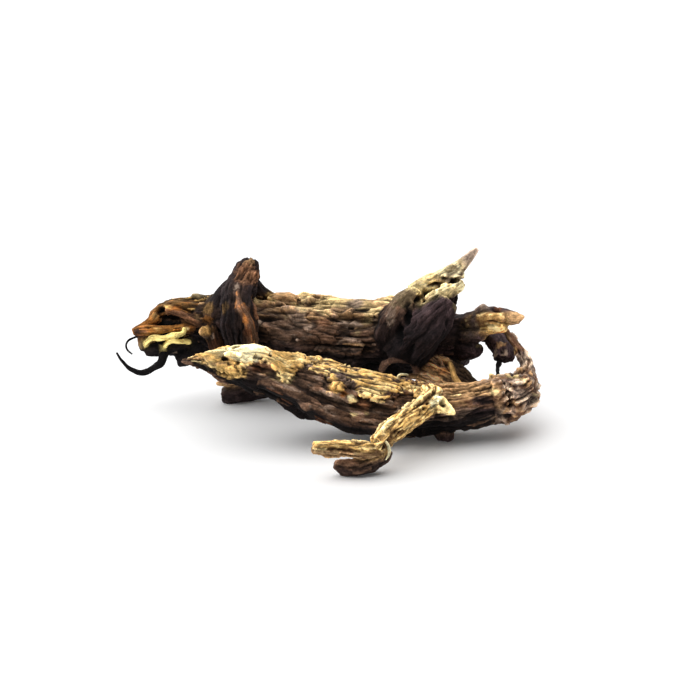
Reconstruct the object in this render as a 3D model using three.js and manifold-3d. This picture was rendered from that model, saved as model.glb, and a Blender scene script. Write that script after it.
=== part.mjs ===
// A dried marshmallow root, grown as one piece of wood and bark.
//
// A thick main root lies at the back. At its right end it turns round a knobbly bend and comes
// forward again as a slimmer front root, so that the whole root is folded like a hairpin. A
// broken-off branch and a peg-shaped branch stand up from the main root, a crown of thin rootlets
// closes its left end, a broken rootlet cluster sits over the bend, and a forked twig runs down
// from the front root to the ground.
//
// Millimetres, +Z up, resting on z = 0. The main root runs along X and the front root faces -Y.

import * as THREE from 'three';
import { ImprovedNoise } from 'three/addons/math/ImprovedNoise.js';
import { mergeVertices } from 'three/addons/utils/BufferGeometryUtils.js';
import Module from 'manifold-3d';

// ---- driving dimensions, mm ---------------------------------------------------------------

const FACET = 3.1;             // widest facet round a thick root
const STATION_GAP = 3.6;       // longest step along a thick root
const STATION_PER_RADIUS = 1.7; // on a thin rootlet, the step along it in radii
const FEWEST_SIDES = 7;
const MOST_SIDES = 24;

const WRINKLE_LENGTH = 15;     // how long one bark wrinkle runs along the grain
const WRINKLES_ROUND = 2.3;    // how closely the wrinkles sit round the root
const WRINKLE_DEPTH = 0.13;    // depth of the wrinkles, in radii
const LUMP_SIZE = 9;           // size of the soft lumps that ignore the grain
const LUMP_HEIGHT = 0.08;      // their height, in radii

const GROUND_CUT = { width: 200, depth: 120, height: 20 };

const bark = new THREE.MeshStandardMaterial({
  name: 'bark',
  color: 0x5a4029,
  roughness: 0.85,
  metalness: 0,
});

// ---- the routes ---------------------------------------------------------------------------
// Every root, branch and rootlet follows its own route: stations of x, y, z and radius in mm,
// joined by a smooth curve.

const mainRoot = {
  trunk: [
    [-41, 28, 25, 8], [-33, 27, 24.5, 10.2], [-22, 27, 23.8, 11.3], [-9, 27, 21.6, 11.6],
    [4, 27, 20.3, 11.6], [17, 27, 20.3, 11.8], [29, 26, 20, 11], [38, 25.5, 20.5, 8.8], [44.5, 25, 23, 6],
  ],
  foot_left: [
    [-9, 30, 10.5, 5], [-16, 29.5, 6.5, 4.6], [-23.5, 28, 4, 4], [-30, 26.5, 2.3, 3.4],
    [-33.5, 26.5, 2, 2.4],
  ],
  bark_scale: [[-19, 28, 6, 1.6], [-25, 27, 6.1, 1.3], [-31, 26, 6.1, 1.1], [-35.5, 26, 6.2, 0.7]],
  foot_back: [[18, 32, 17, 7.5], [19, 32, 8, 4.8], [20, 32, -1, 2.8]],
  foot_middle: [[29, 28, 16.5, 6.3], [33, 24, 10.5, 6], [35, 21, 5.5, 4.3], [37, 19, -1, 2.8]],
  low_rootlet: [
    [25, 26, 16.5, 7.5], [32, 20, 14.5, 6.2], [38, 15, 13, 4.6], [42.5, 13, 11.5, 2.8],
    [46, 12, 9.5, 1.8],
  ],
  ring_rootlet: [
    [17, 20, 12.5, 1.6], [17.3, 16, 15.5, 1.3], [19.5, 12.5, 18.3, 1.1], [23, 11, 19, 1.1],
    [26, 12, 17.5, 1.2], [27.5, 15, 14, 1.4],
  ],
};

const uprightPeg = {
  peg: [
    [-25.5, 17, 19.5, 4.4], [-27, 14, 27.5, 5.5], [-27.5, 16, 34, 5.3], [-26.5, 22, 38.5, 5],
    [-25, 25, 42.3, 4.3], [-23.9, 26.5, 45, 3.3], [-23.4, 27, 46.6, 1.9],
  ],
  peg_flare_left: [
    [-35.5, 21, 29.5, 2.8], [-34, 23, 34, 2.4], [-31.7, 25, 37.2, 2.1], [-28.5, 26, 40.5, 1.7],
  ],
  peg_flare_right: [
    [-23.5, 27, 41, 1.6], [-22.5, 28, 37.5, 2.3], [-19.5, 29, 33.3, 2.6], [-14, 30, 30.8, 2.4],
  ],
  peg_rib: [
    [-27.5, 19, 40, 1.4], [-27, 12, 37, 1.5], [-25, 11, 33.5, 1.8], [-23.5, 10.5, 29, 2],
    [-23, 11.5, 23, 2.1],
  ],
};

const crown = {
  crown_upper: [
    [-36.5, 28, 27.5, 7.3], [-42.5, 27, 29.5, 4.6], [-48.5, 26, 30.9, 3.6], [-53, 25, 29.7, 2.5],
    [-55, 24, 28, 1.6],
  ],
  crown_core: [[-38, 27, 25, 6.5], [-45, 26, 26, 5], [-51, 25, 25.5, 4], [-55.5, 23, 24.5, 2.6]],
  crown_spur: [[-37.5, 28, 32.5, 2.2], [-40.5, 28, 33.8, 1.6], [-42.5, 28, 34.6, 0.8]],
  crown_middle: [
    [-38.5, 24, 25.6, 3.2], [-45.5, 19, 26.4, 1.5], [-52, 18, 26.1, 1.8], [-56.5, 18, 26, 1.9],
    [-60, 18.5, 25.7, 1],
  ],
  crown_wedge: [[-52.5, 22, 29.8, 2.3], [-56, 21, 27.2, 1.6], [-60.5, 20, 25.7, 0.6]],
  crown_end: [[-56, 19, 25.5, 2.1], [-57, 19, 22.8, 2.2], [-56, 19, 20, 2]],
  crown_lower: [
    [-40, 24, 21.2, 4.1], [-47, 20, 20.6, 3], [-53, 19, 20.4, 2.8], [-56.5, 19, 19.9, 2.1],
  ],
  crown_under: [[-38, 23, 19.8, 3.7], [-42.5, 20, 17.3, 3.2], [-47, 19, 16.2, 2.3]],
  crown_knob: [[-36.5, 21, 24.6, 2.3], [-37.3, 16, 26.2, 2], [-37.6, 13, 27.4, 1.7]],
  crown_rib: [[-37, 22, 28, 2.8], [-35, 17, 24, 2.8], [-33, 15, 19.5, 2.2]],
  pale_fibre_upper: [
    [-56, 17, 22, 0.7], [-53.5, 15.5, 24.5, 0.9], [-50, 15.5, 24.5, 0.9], [-47, 15.5, 25, 0.9],
    [-44.5, 15.5, 26, 0.8], [-44, 17, 27.5, 0.6],
  ],
  pale_fibre_lower: [
    [-50.5, 17, 21, 0.6], [-48, 15.5, 23.5, 0.8], [-46, 15.5, 23.5, 0.8], [-42.5, 19, 22, 0.6],
  ],
  hook_rootlet: [
    [-51.5, 18, 22.5, 1.5], [-50.5, 17, 19.5, 1.5], [-51.5, 16, 16, 1.3], [-54, 16, 14, 1.1],
    [-57.5, 16, 13.5, 0.9], [-60.5, 16, 14.2, 0.7], [-62.8, 16, 16.4, 0.5], [-65, 16, 19.7, 0.3],
  ],
  hair_rootlet: [
    [-57, 18, 25, 0.5], [-59.2, 17, 24.5, 0.4], [-61.2, 17, 23.4, 0.35], [-62, 17, 21.8, 0.35],
    [-61.6, 17, 20.3, 0.3], [-60.2, 17, 18.9, 0.25],
  ],
};

const brokenBranch = {
  branch_core: [[22.5, 25, 19.5, 8.8], [27.5, 24, 27.5, 8], [33, 23, 34, 6.2], [37, 22, 39.5, 4.2]],
  branch_left_lobe: [
    [19.5, 21, 21.5, 6.8], [22.5, 17, 30.5, 5.7], [25.3, 17, 36, 4.2], [27.8, 18.5, 38.8, 2.3],
  ],
  branch_right_lobe: [
    [23.5, 18, 19.5, 7.4], [29.5, 12, 28.5, 6.7], [34, 11.5, 34, 5], [36.8, 13.5, 37.3, 3.4],
  ],
  branch_slab: [[29, 22.5, 35, 4.4], [34.5, 22.5, 39.5, 4.2], [39, 22.5, 43, 3]],
  break_rim_back: [
    [26, 20.5, 37.3, 2.7], [31, 20.5, 40.6, 2.8], [36, 20.5, 43.4, 2.6], [40, 21, 45.8, 2.2],
  ],
  break_spike: [[37, 21, 42.5, 3], [41.5, 21, 46.4, 1.9], [44.1, 21, 49.6, 1.3], [45.9, 21, 51.6, 0.9]],
  break_rim_end: [[36, 19, 42.5, 2.3], [40, 19, 43.8, 1.7], [42, 19, 43.6, 0.9]],
  break_rim_front: [
    [30.5, 15, 35.8, 2.4], [35.5, 15, 39.2, 2.7], [39, 16, 40.8, 2.3], [41.5, 17, 41.8, 1.2],
  ],
};

const rootletCluster = {
  cluster_base: [[35, 24, 22, 8.1], [40.5, 23, 24.2, 5.9], [45.5, 21, 25.6, 4.4]],
  rootlet_back: [
    [43.5, 22, 26.5, 4.3], [48.5, 17, 31, 3.1], [52.5, 12.5, 33.2, 2.6], [55.8, 9, 33.2, 2.5],
    [57.8, 7, 33.8, 1.5], [59.3, 6, 34.4, 0.5],
  ],
  rootlet_upper: [[45, 19, 28, 3.4], [48, 13, 31.3, 2.2], [51, 10, 32.7, 1.9], [54, 8, 33.6, 1.6]],
  rootlet_nub: [[46.5, 17, 32, 1.8], [48.4, 15.5, 34.8, 1.2]],
  rootlet_lower: [[44, 21, 24, 4], [48, 14, 27.8, 2.3], [51, 10.5, 29.4, 1.9], [54, 8.5, 30.3, 1.7]],
  rootlet_tan: [[42, 22, 22.5, 4.4], [44.8, 15.5, 25.2, 2.5], [47.3, 12.5, 26.5, 1.9]],
  rootlet_green: [[40, 24, 18.5, 5], [43.5, 17, 20.4, 3.3], [46.3, 13, 21.6, 2.3]],
  rootlet_knob: [
    [51.5, 24, 22.5, 3.5], [53, 19, 21.5, 3.6], [54.3, 15, 20.4, 3.7], [54.3, 13, 18.6, 3.1],
  ],
  knob_strand: [[53, 14, 17.5, 0.8], [51.8, 8, 16.4, 0.6], [51.3, 1, 15, 0.8]],
  pale_strand: [[37.3, 9, 18.8, 0.6], [38, 5, 17, 0.9], [39.5, 0, 15.3, 0.9], [40.4, -3, 14, 0.9]],
};

const bend = {
  bend: [
    [51.5, -6, 12.3, 7.3], [56, -2.5, 12.4, 6.9], [59.6, 6, 13.9, 4], [61.5, 13, 16, 2.2],
    [60.4, 19, 17.8, 1.9], [58.3, 23, 20.2, 1.6], [56, 25, 22.6, 2], [51.5, 26, 23.5, 3.4],
    [47, 26, 24, 4.4],
  ],
  bend_knob: [[60.5, 1, 10.5, 3], [64, 2, 11, 1.5]],
};

const frontRoot = {
  front_root: [
    [-42.8, -6, 24.7, 0.6], [-38, -6.3, 24.4, 1.8], [-32.5, -6, 23.6, 4.1], [-26.5, -6, 22.6, 6],
    [-20.5, -6, 21.5, 6.9], [-14.5, -6, 19.6, 6.2], [-7, -6, 17.1, 7.8], [0.5, -6, 14.1, 9.2],
    [7.5, -6, 11.9, 9.1], [15.5, -6, 10, 8.8], [23, -6, 9.3, 8.4], [31.5, -6, 9.3, 7.8],
    [39.5, -6.5, 10.4, 7.3], [46.5, -6.5, 11.6, 6.9], [52, -5, 12.6, 7.1],
  ],
  front_rib: [
    [-22, -9, 20.3, 1.6], [-17, -11.5, 19.3, 2.5], [-9, -13.8, 16.4, 3], [1, -15, 11.4, 3.9],
    [11, -15, 8.2, 3.8], [21, -14, 7.2, 3],
  ],
  tip_splinter: [[-31, -8, 25.6, 2], [-35, -8.8, 26.7, 1.1], [-38.4, -9, 27.5, 0.4]],
  knob_left: [[-3, -4, 22, 2.3], [-2.4, -3, 24, 1.5], [-2.3, -3, 24.9, 1.1]],
  knob_right: [[5, -4, 19.5, 2.4], [4.5, -3, 21.5, 1.5], [4.5, -3, 22, 1]],
  foot_front: [[34, -6, 8.5, 5.4], [34.5, -7, 4, 3.6], [35, -7, -1, 2.4]],
};

const forkedTwig = {
  twig: [
    [30, -11, 17, 3.2], [30.5, -15, 15, 3.8], [26.5, -20, 13, 3.5], [22, -25, 12, 3.3],
    [18, -30, 10.4, 3], [15, -33.5, 8.5, 3],
  ],
  twig_horn: [[27.5, -12, 15.5, 2], [27, -11, 17.5, 1.6]],
  twig_break: [
    [29.5, -15, 15, 3.5], [33.5, -17, 14.5, 2.6], [35.5, -18, 13.5, 1.7], [37.5, -19, 12.5, 0.5],
  ],
  twig_left: [
    [15.5, -34, 7.6, 2.4], [10.5, -35.5, 7.8, 2.4], [5, -36.5, 8.8, 2.2], [0.5, -37.5, 9.4, 2.1],
    [-3.5, -38.5, 9.9, 2],
  ],
  twig_low: [
    [17, -33, 7.5, 2.8], [15.7, -34, 4.8, 2.8], [10.5, -34.5, 2.5, 2.9], [6, -35, 2.5, 2.4],
    [2.6, -35, 3.4, 1.4],
  ],
};

// Small forms that stand out from the thick roots.
const smallForms = {
  trunk_ridge: [[-18, 27, 32.2, 2.6], [-14, 27, 33.7, 2.7], [-10, 27, 32.2, 2.4]],
  crown_strand: [
    [-50.5, 22.5, 31.6, 1.4], [-46, 21.8, 30.4, 1.7], [-42, 20.8, 28.8, 1.7], [-38.5, 20.5, 26.8, 1.6],
  ],
  tip_prong: [[-29.5, -6.5, 26.9, 1.8], [-33, -7.2, 27.4, 1.1], [-35.8, -8, 27.6, 0.4]],
};

const routes = {
  ...mainRoot, ...uprightPeg, ...crown, ...brokenBranch,
  ...rootletCluster, ...bend, ...frontRoot, ...forkedTwig, ...smallForms,
};

// ---- one root along its route -------------------------------------------------------------

const noise = new ImprovedNoise();
const WORLD_AXES = [new THREE.Vector3(1, 0, 0), new THREE.Vector3(0, 1, 0), new THREE.Vector3(0, 0, 1)];

function smoothCurve(points) {
  return new THREE.CatmullRomCurve3(points, false, 'catmullrom', 0.5);
}

// The world axis that the route turns towards least gives every section a steady "up".
function steadyAxis(centre) {
  const tangents = centre.points.map((_, i) => centre.getTangent(i / (centre.points.length - 1)));
  const lean = (axis) => Math.max(...tangents.map((tangent) => Math.abs(tangent.dot(axis))));
  return WORLD_AXES.reduce((best, axis) => (lean(axis) < lean(best) ? axis : best));
}

// Wrinkles run along the grain and lumps do not, so they are noises of different stretch, both
// read where the point would be if the root were straight.
function barkFactor(along, angle, seed) {
  const acrossX = WRINKLES_ROUND * Math.cos(angle);
  const acrossY = WRINKLES_ROUND * Math.sin(angle);
  const wrinkle = noise.noise(along / WRINKLE_LENGTH + seed, acrossX + seed, acrossY);
  const lump = noise.noise(along / LUMP_SIZE - seed, acrossX / 2, acrossY / 2 + seed);
  return 1 + 2 * WRINKLE_DEPTH * wrinkle + 2 * LUMP_HEIGHT * lump;
}

function growRoot(route, seed) {
  const centre = smoothCurve(route.map(([x, y, z]) => new THREE.Vector3(x, y, z)));
  const girth = smoothCurve(route.map(([, , , radius]) => new THREE.Vector3(radius, 0, 0)));
  const thickest = Math.max(...route.map(([, , , radius]) => radius));
  const length = centre.getLength();
  const sides = THREE.MathUtils.clamp(Math.round((2 * Math.PI * thickest) / FACET), FEWEST_SIDES, MOST_SIDES);
  const stationGap = Math.min(STATION_GAP, STATION_PER_RADIUS * thickest);
  const steps = Math.max(3, Math.round(length / stationGap));

  const geometry = new THREE.CylinderGeometry(1, 1, 1, sides, steps);
  geometry.deleteAttribute('normal');
  geometry.deleteAttribute('uv');

  const steady = steadyAxis(centre);
  const position = geometry.attributes.position;
  const straight = new THREE.Vector3();
  for (let i = 0; i < position.count; i += 1) {
    straight.fromBufferAttribute(position, i);
    const t = straight.y + 0.5;
    const angle = Math.atan2(straight.z, straight.x);
    const radius = girth.getPoint(t).x * barkFactor(t * length, angle, seed);
    const tangent = centre.getTangent(t);
    const side = new THREE.Vector3().crossVectors(steady, tangent).normalize();
    const over = new THREE.Vector3().crossVectors(side, tangent);
    const bent = centre.getPoint(t);
    bent.addScaledVector(side, radius * straight.x);
    bent.addScaledVector(over, radius * straight.z);
    position.setXYZ(i, bent.x, bent.y, bent.z);
  }
  return mergeVertices(geometry);
}

// ---- joining the roots into one solid -----------------------------------------------------

const wasm = await Module();
wasm.setup();

function toSolid(geometry) {
  const vertProperties = new Float32Array(geometry.attributes.position.array);
  const triVerts = new Uint32Array(geometry.index.array);
  return new wasm.Manifold(new wasm.Mesh({ numProp: 3, vertProperties, triVerts }));
}

function toGeometry(solid) {
  const { vertProperties, triVerts } = solid.getMesh();
  const geometry = new THREE.BufferGeometry();
  geometry.setAttribute('position', new THREE.BufferAttribute(new Float32Array(vertProperties), 3));
  geometry.setIndex(new THREE.BufferAttribute(new Uint32Array(triVerts), 1));
  geometry.computeVertexNormals();
  return geometry;
}

// Everything below the ground is cut away, which leaves a small flat under each foot.
function groundBlock() {
  const box = new THREE.BoxGeometry(GROUND_CUT.width, GROUND_CUT.depth, GROUND_CUT.height);
  box.translate(0, 0, -GROUND_CUT.height / 2);
  box.deleteAttribute('normal');
  box.deleteAttribute('uv');
  return toSolid(mergeVertices(box));
}

const grown = Object.values(routes)
  .map((route, index) => toSolid(growRoot(route, index)))
  .reduce((whole, piece) => whole.add(piece));

const marshmallowRoot = new THREE.Mesh(toGeometry(grown.subtract(groundBlock())), bark);
marshmallowRoot.name = 'root';

const part = new THREE.Group();
part.add(marshmallowRoot);

export default part;
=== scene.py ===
# %% [markdown]
# # A dried marshmallow root
#
# The real thing is one root, lifted, dried and shrunk until its bark stands in hard wrinkles. It is
# folded like a hairpin: the thick main root lies at the back, turns round a knobbly bend at the
# right and comes forward as a slimmer front root with a torn tip. Two broken branches stand up from
# it, and thin rootlets and a forked twig hang off it.
#
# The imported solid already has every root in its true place, so nothing here moves or resizes it.
# This script grows a finer skin over a copy of that solid and then paints it.

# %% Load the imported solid
import itertools
import math

import bmesh
import bpy
import numpy as np
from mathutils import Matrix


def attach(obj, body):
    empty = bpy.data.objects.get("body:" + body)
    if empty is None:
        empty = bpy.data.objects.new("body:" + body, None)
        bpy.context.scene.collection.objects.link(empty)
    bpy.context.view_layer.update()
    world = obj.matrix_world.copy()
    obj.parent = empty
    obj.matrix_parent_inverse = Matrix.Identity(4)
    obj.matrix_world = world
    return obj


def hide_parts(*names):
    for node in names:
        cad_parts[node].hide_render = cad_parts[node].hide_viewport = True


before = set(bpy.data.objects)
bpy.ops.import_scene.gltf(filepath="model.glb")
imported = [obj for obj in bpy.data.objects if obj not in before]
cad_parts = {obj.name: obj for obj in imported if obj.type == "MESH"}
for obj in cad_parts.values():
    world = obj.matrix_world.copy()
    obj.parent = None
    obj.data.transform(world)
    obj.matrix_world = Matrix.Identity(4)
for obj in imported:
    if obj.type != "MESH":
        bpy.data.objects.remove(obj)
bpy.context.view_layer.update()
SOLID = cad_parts["root"]
MM = 0.001

# %% [markdown]
# ## Camera
#
# The root is small, so it is seen from half a metre through a long lens, from a little above the
# table. The lens keeps the front and the back of the root at nearly the same scale.

# %% Camera
CAMERA_HEIGHT_ANGLE = math.radians(18)
CAMERA_DISTANCE = 0.496
CAMERA_LENS = 85
CAMERA_SENSOR = 36
LOOKED_AT = (0.007, 0.004, 0.0258)

camera_data = bpy.data.cameras.new("camera")
camera_data.lens = CAMERA_LENS
camera_data.sensor_width = CAMERA_SENSOR
camera = bpy.data.objects.new("camera", camera_data)
camera.location = (
    LOOKED_AT[0],
    LOOKED_AT[1] - CAMERA_DISTANCE * math.cos(CAMERA_HEIGHT_ANGLE),
    LOOKED_AT[2] + CAMERA_DISTANCE * math.sin(CAMERA_HEIGHT_ANGLE),
)
camera.rotation_euler = (math.radians(90) - CAMERA_HEIGHT_ANGLE, 0, 0)
bpy.context.scene.collection.objects.link(camera)
bpy.context.scene.camera = camera
print("camera at", [round(value, 3) for value in camera.location])

# %% [markdown]
# ## The table and the light
#
# A root like this is usually laid on a white sheet under one wide soft light. A wide sun does that
# without fading over the table, and a pale world fills the shadows. Together they give about as
# much light as makes a colour look the way it is written.

# %% Table and light
TABLE_SIZE = 4.0
SUN_STRENGTH = 4.5
SUN_WIDTH = math.radians(120)
SUN_TILT = (math.radians(-20), math.radians(-25), 0)
SKY_STRENGTH = 0.12
PAPER_WHITE = (0.93, 0.93, 0.93, 1)
PAPER_GLOW = 0.035


def white_to_the_eye(nodes, links):
    """1 for what the eye, a gloss or a glass sees, and 0 for the light that falls on things."""
    path = nodes.new("ShaderNodeLightPath")
    gloss = nodes.new("ShaderNodeMath")
    gloss.operation = "MAXIMUM"
    links.new(path.outputs["Is Camera Ray"], gloss.inputs[0])
    links.new(path.outputs["Is Glossy Ray"], gloss.inputs[1])
    seen = nodes.new("ShaderNodeMath")
    seen.operation = "MAXIMUM"
    links.new(gloss.outputs[0], seen.inputs[0])
    links.new(path.outputs["Is Transmission Ray"], seen.inputs[1])
    return seen.outputs[0]


def make_table():
    mesh = bmesh.new()
    bmesh.ops.create_grid(mesh, x_segments=1, y_segments=1, size=TABLE_SIZE / 2)
    data = bpy.data.meshes.new("table")
    mesh.to_mesh(data)
    mesh.free()
    table = bpy.data.objects.new("table", data)
    bpy.context.scene.collection.objects.link(table)
    material = bpy.data.materials.new("white_table")
    material.use_nodes = True
    nodes, links = material.node_tree.nodes, material.node_tree.links
    nodes.clear()
    output = nodes.new("ShaderNodeOutputMaterial")
    paper = nodes.new("ShaderNodeBsdfDiffuse")
    paper.inputs["Color"].default_value = PAPER_WHITE
    lift = nodes.new("ShaderNodeEmission")
    lift.inputs["Strength"].default_value = PAPER_GLOW
    both = nodes.new("ShaderNodeAddShader")
    links.new(paper.outputs[0], both.inputs[0])
    links.new(lift.outputs[0], both.inputs[1])
    links.new(both.outputs[0], output.inputs["Surface"])
    data.materials.append(material)


def make_sky():
    world = bpy.data.worlds.new("pale_room")
    world.use_nodes = True
    nodes, links = world.node_tree.nodes, world.node_tree.links
    nodes.clear()
    output = nodes.new("ShaderNodeOutputWorld")
    room = nodes.new("ShaderNodeBackground")
    room.inputs["Strength"].default_value = SKY_STRENGTH
    seen_room = nodes.new("ShaderNodeBackground")
    seen_room.inputs["Color"].default_value = (1, 1, 1, 1)
    seen_room.inputs["Strength"].default_value = 1
    mix = nodes.new("ShaderNodeMixShader")
    links.new(white_to_the_eye(nodes, links), mix.inputs["Fac"])
    links.new(room.outputs[0], mix.inputs[1])
    links.new(seen_room.outputs[0], mix.inputs[2])
    links.new(mix.outputs[0], output.inputs["Surface"])
    bpy.context.scene.world = world


def make_sun():
    data = bpy.data.lights.new("soft_sun", "SUN")
    data.energy = SUN_STRENGTH
    data.angle = SUN_WIDTH
    sun = bpy.data.objects.new("soft_sun", data)
    sun.rotation_euler = SUN_TILT
    bpy.context.scene.collection.objects.link(sun)


make_table()
make_sky()
make_sun()
bpy.context.scene.view_settings.view_transform = "Standard"
print("light on a level surface:", round(SKY_STRENGTH + SUN_STRENGTH / math.pi, 2))

# %% [markdown]
# ## The routes of the roots
#
# Bark splits and wrinkles along the root that it grows on, so its detail has to know which way each
# root runs. These are the routes that the solid was grown along: stations of x, y, z and radius in
# millimetres, joined by a smooth curve.

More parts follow.
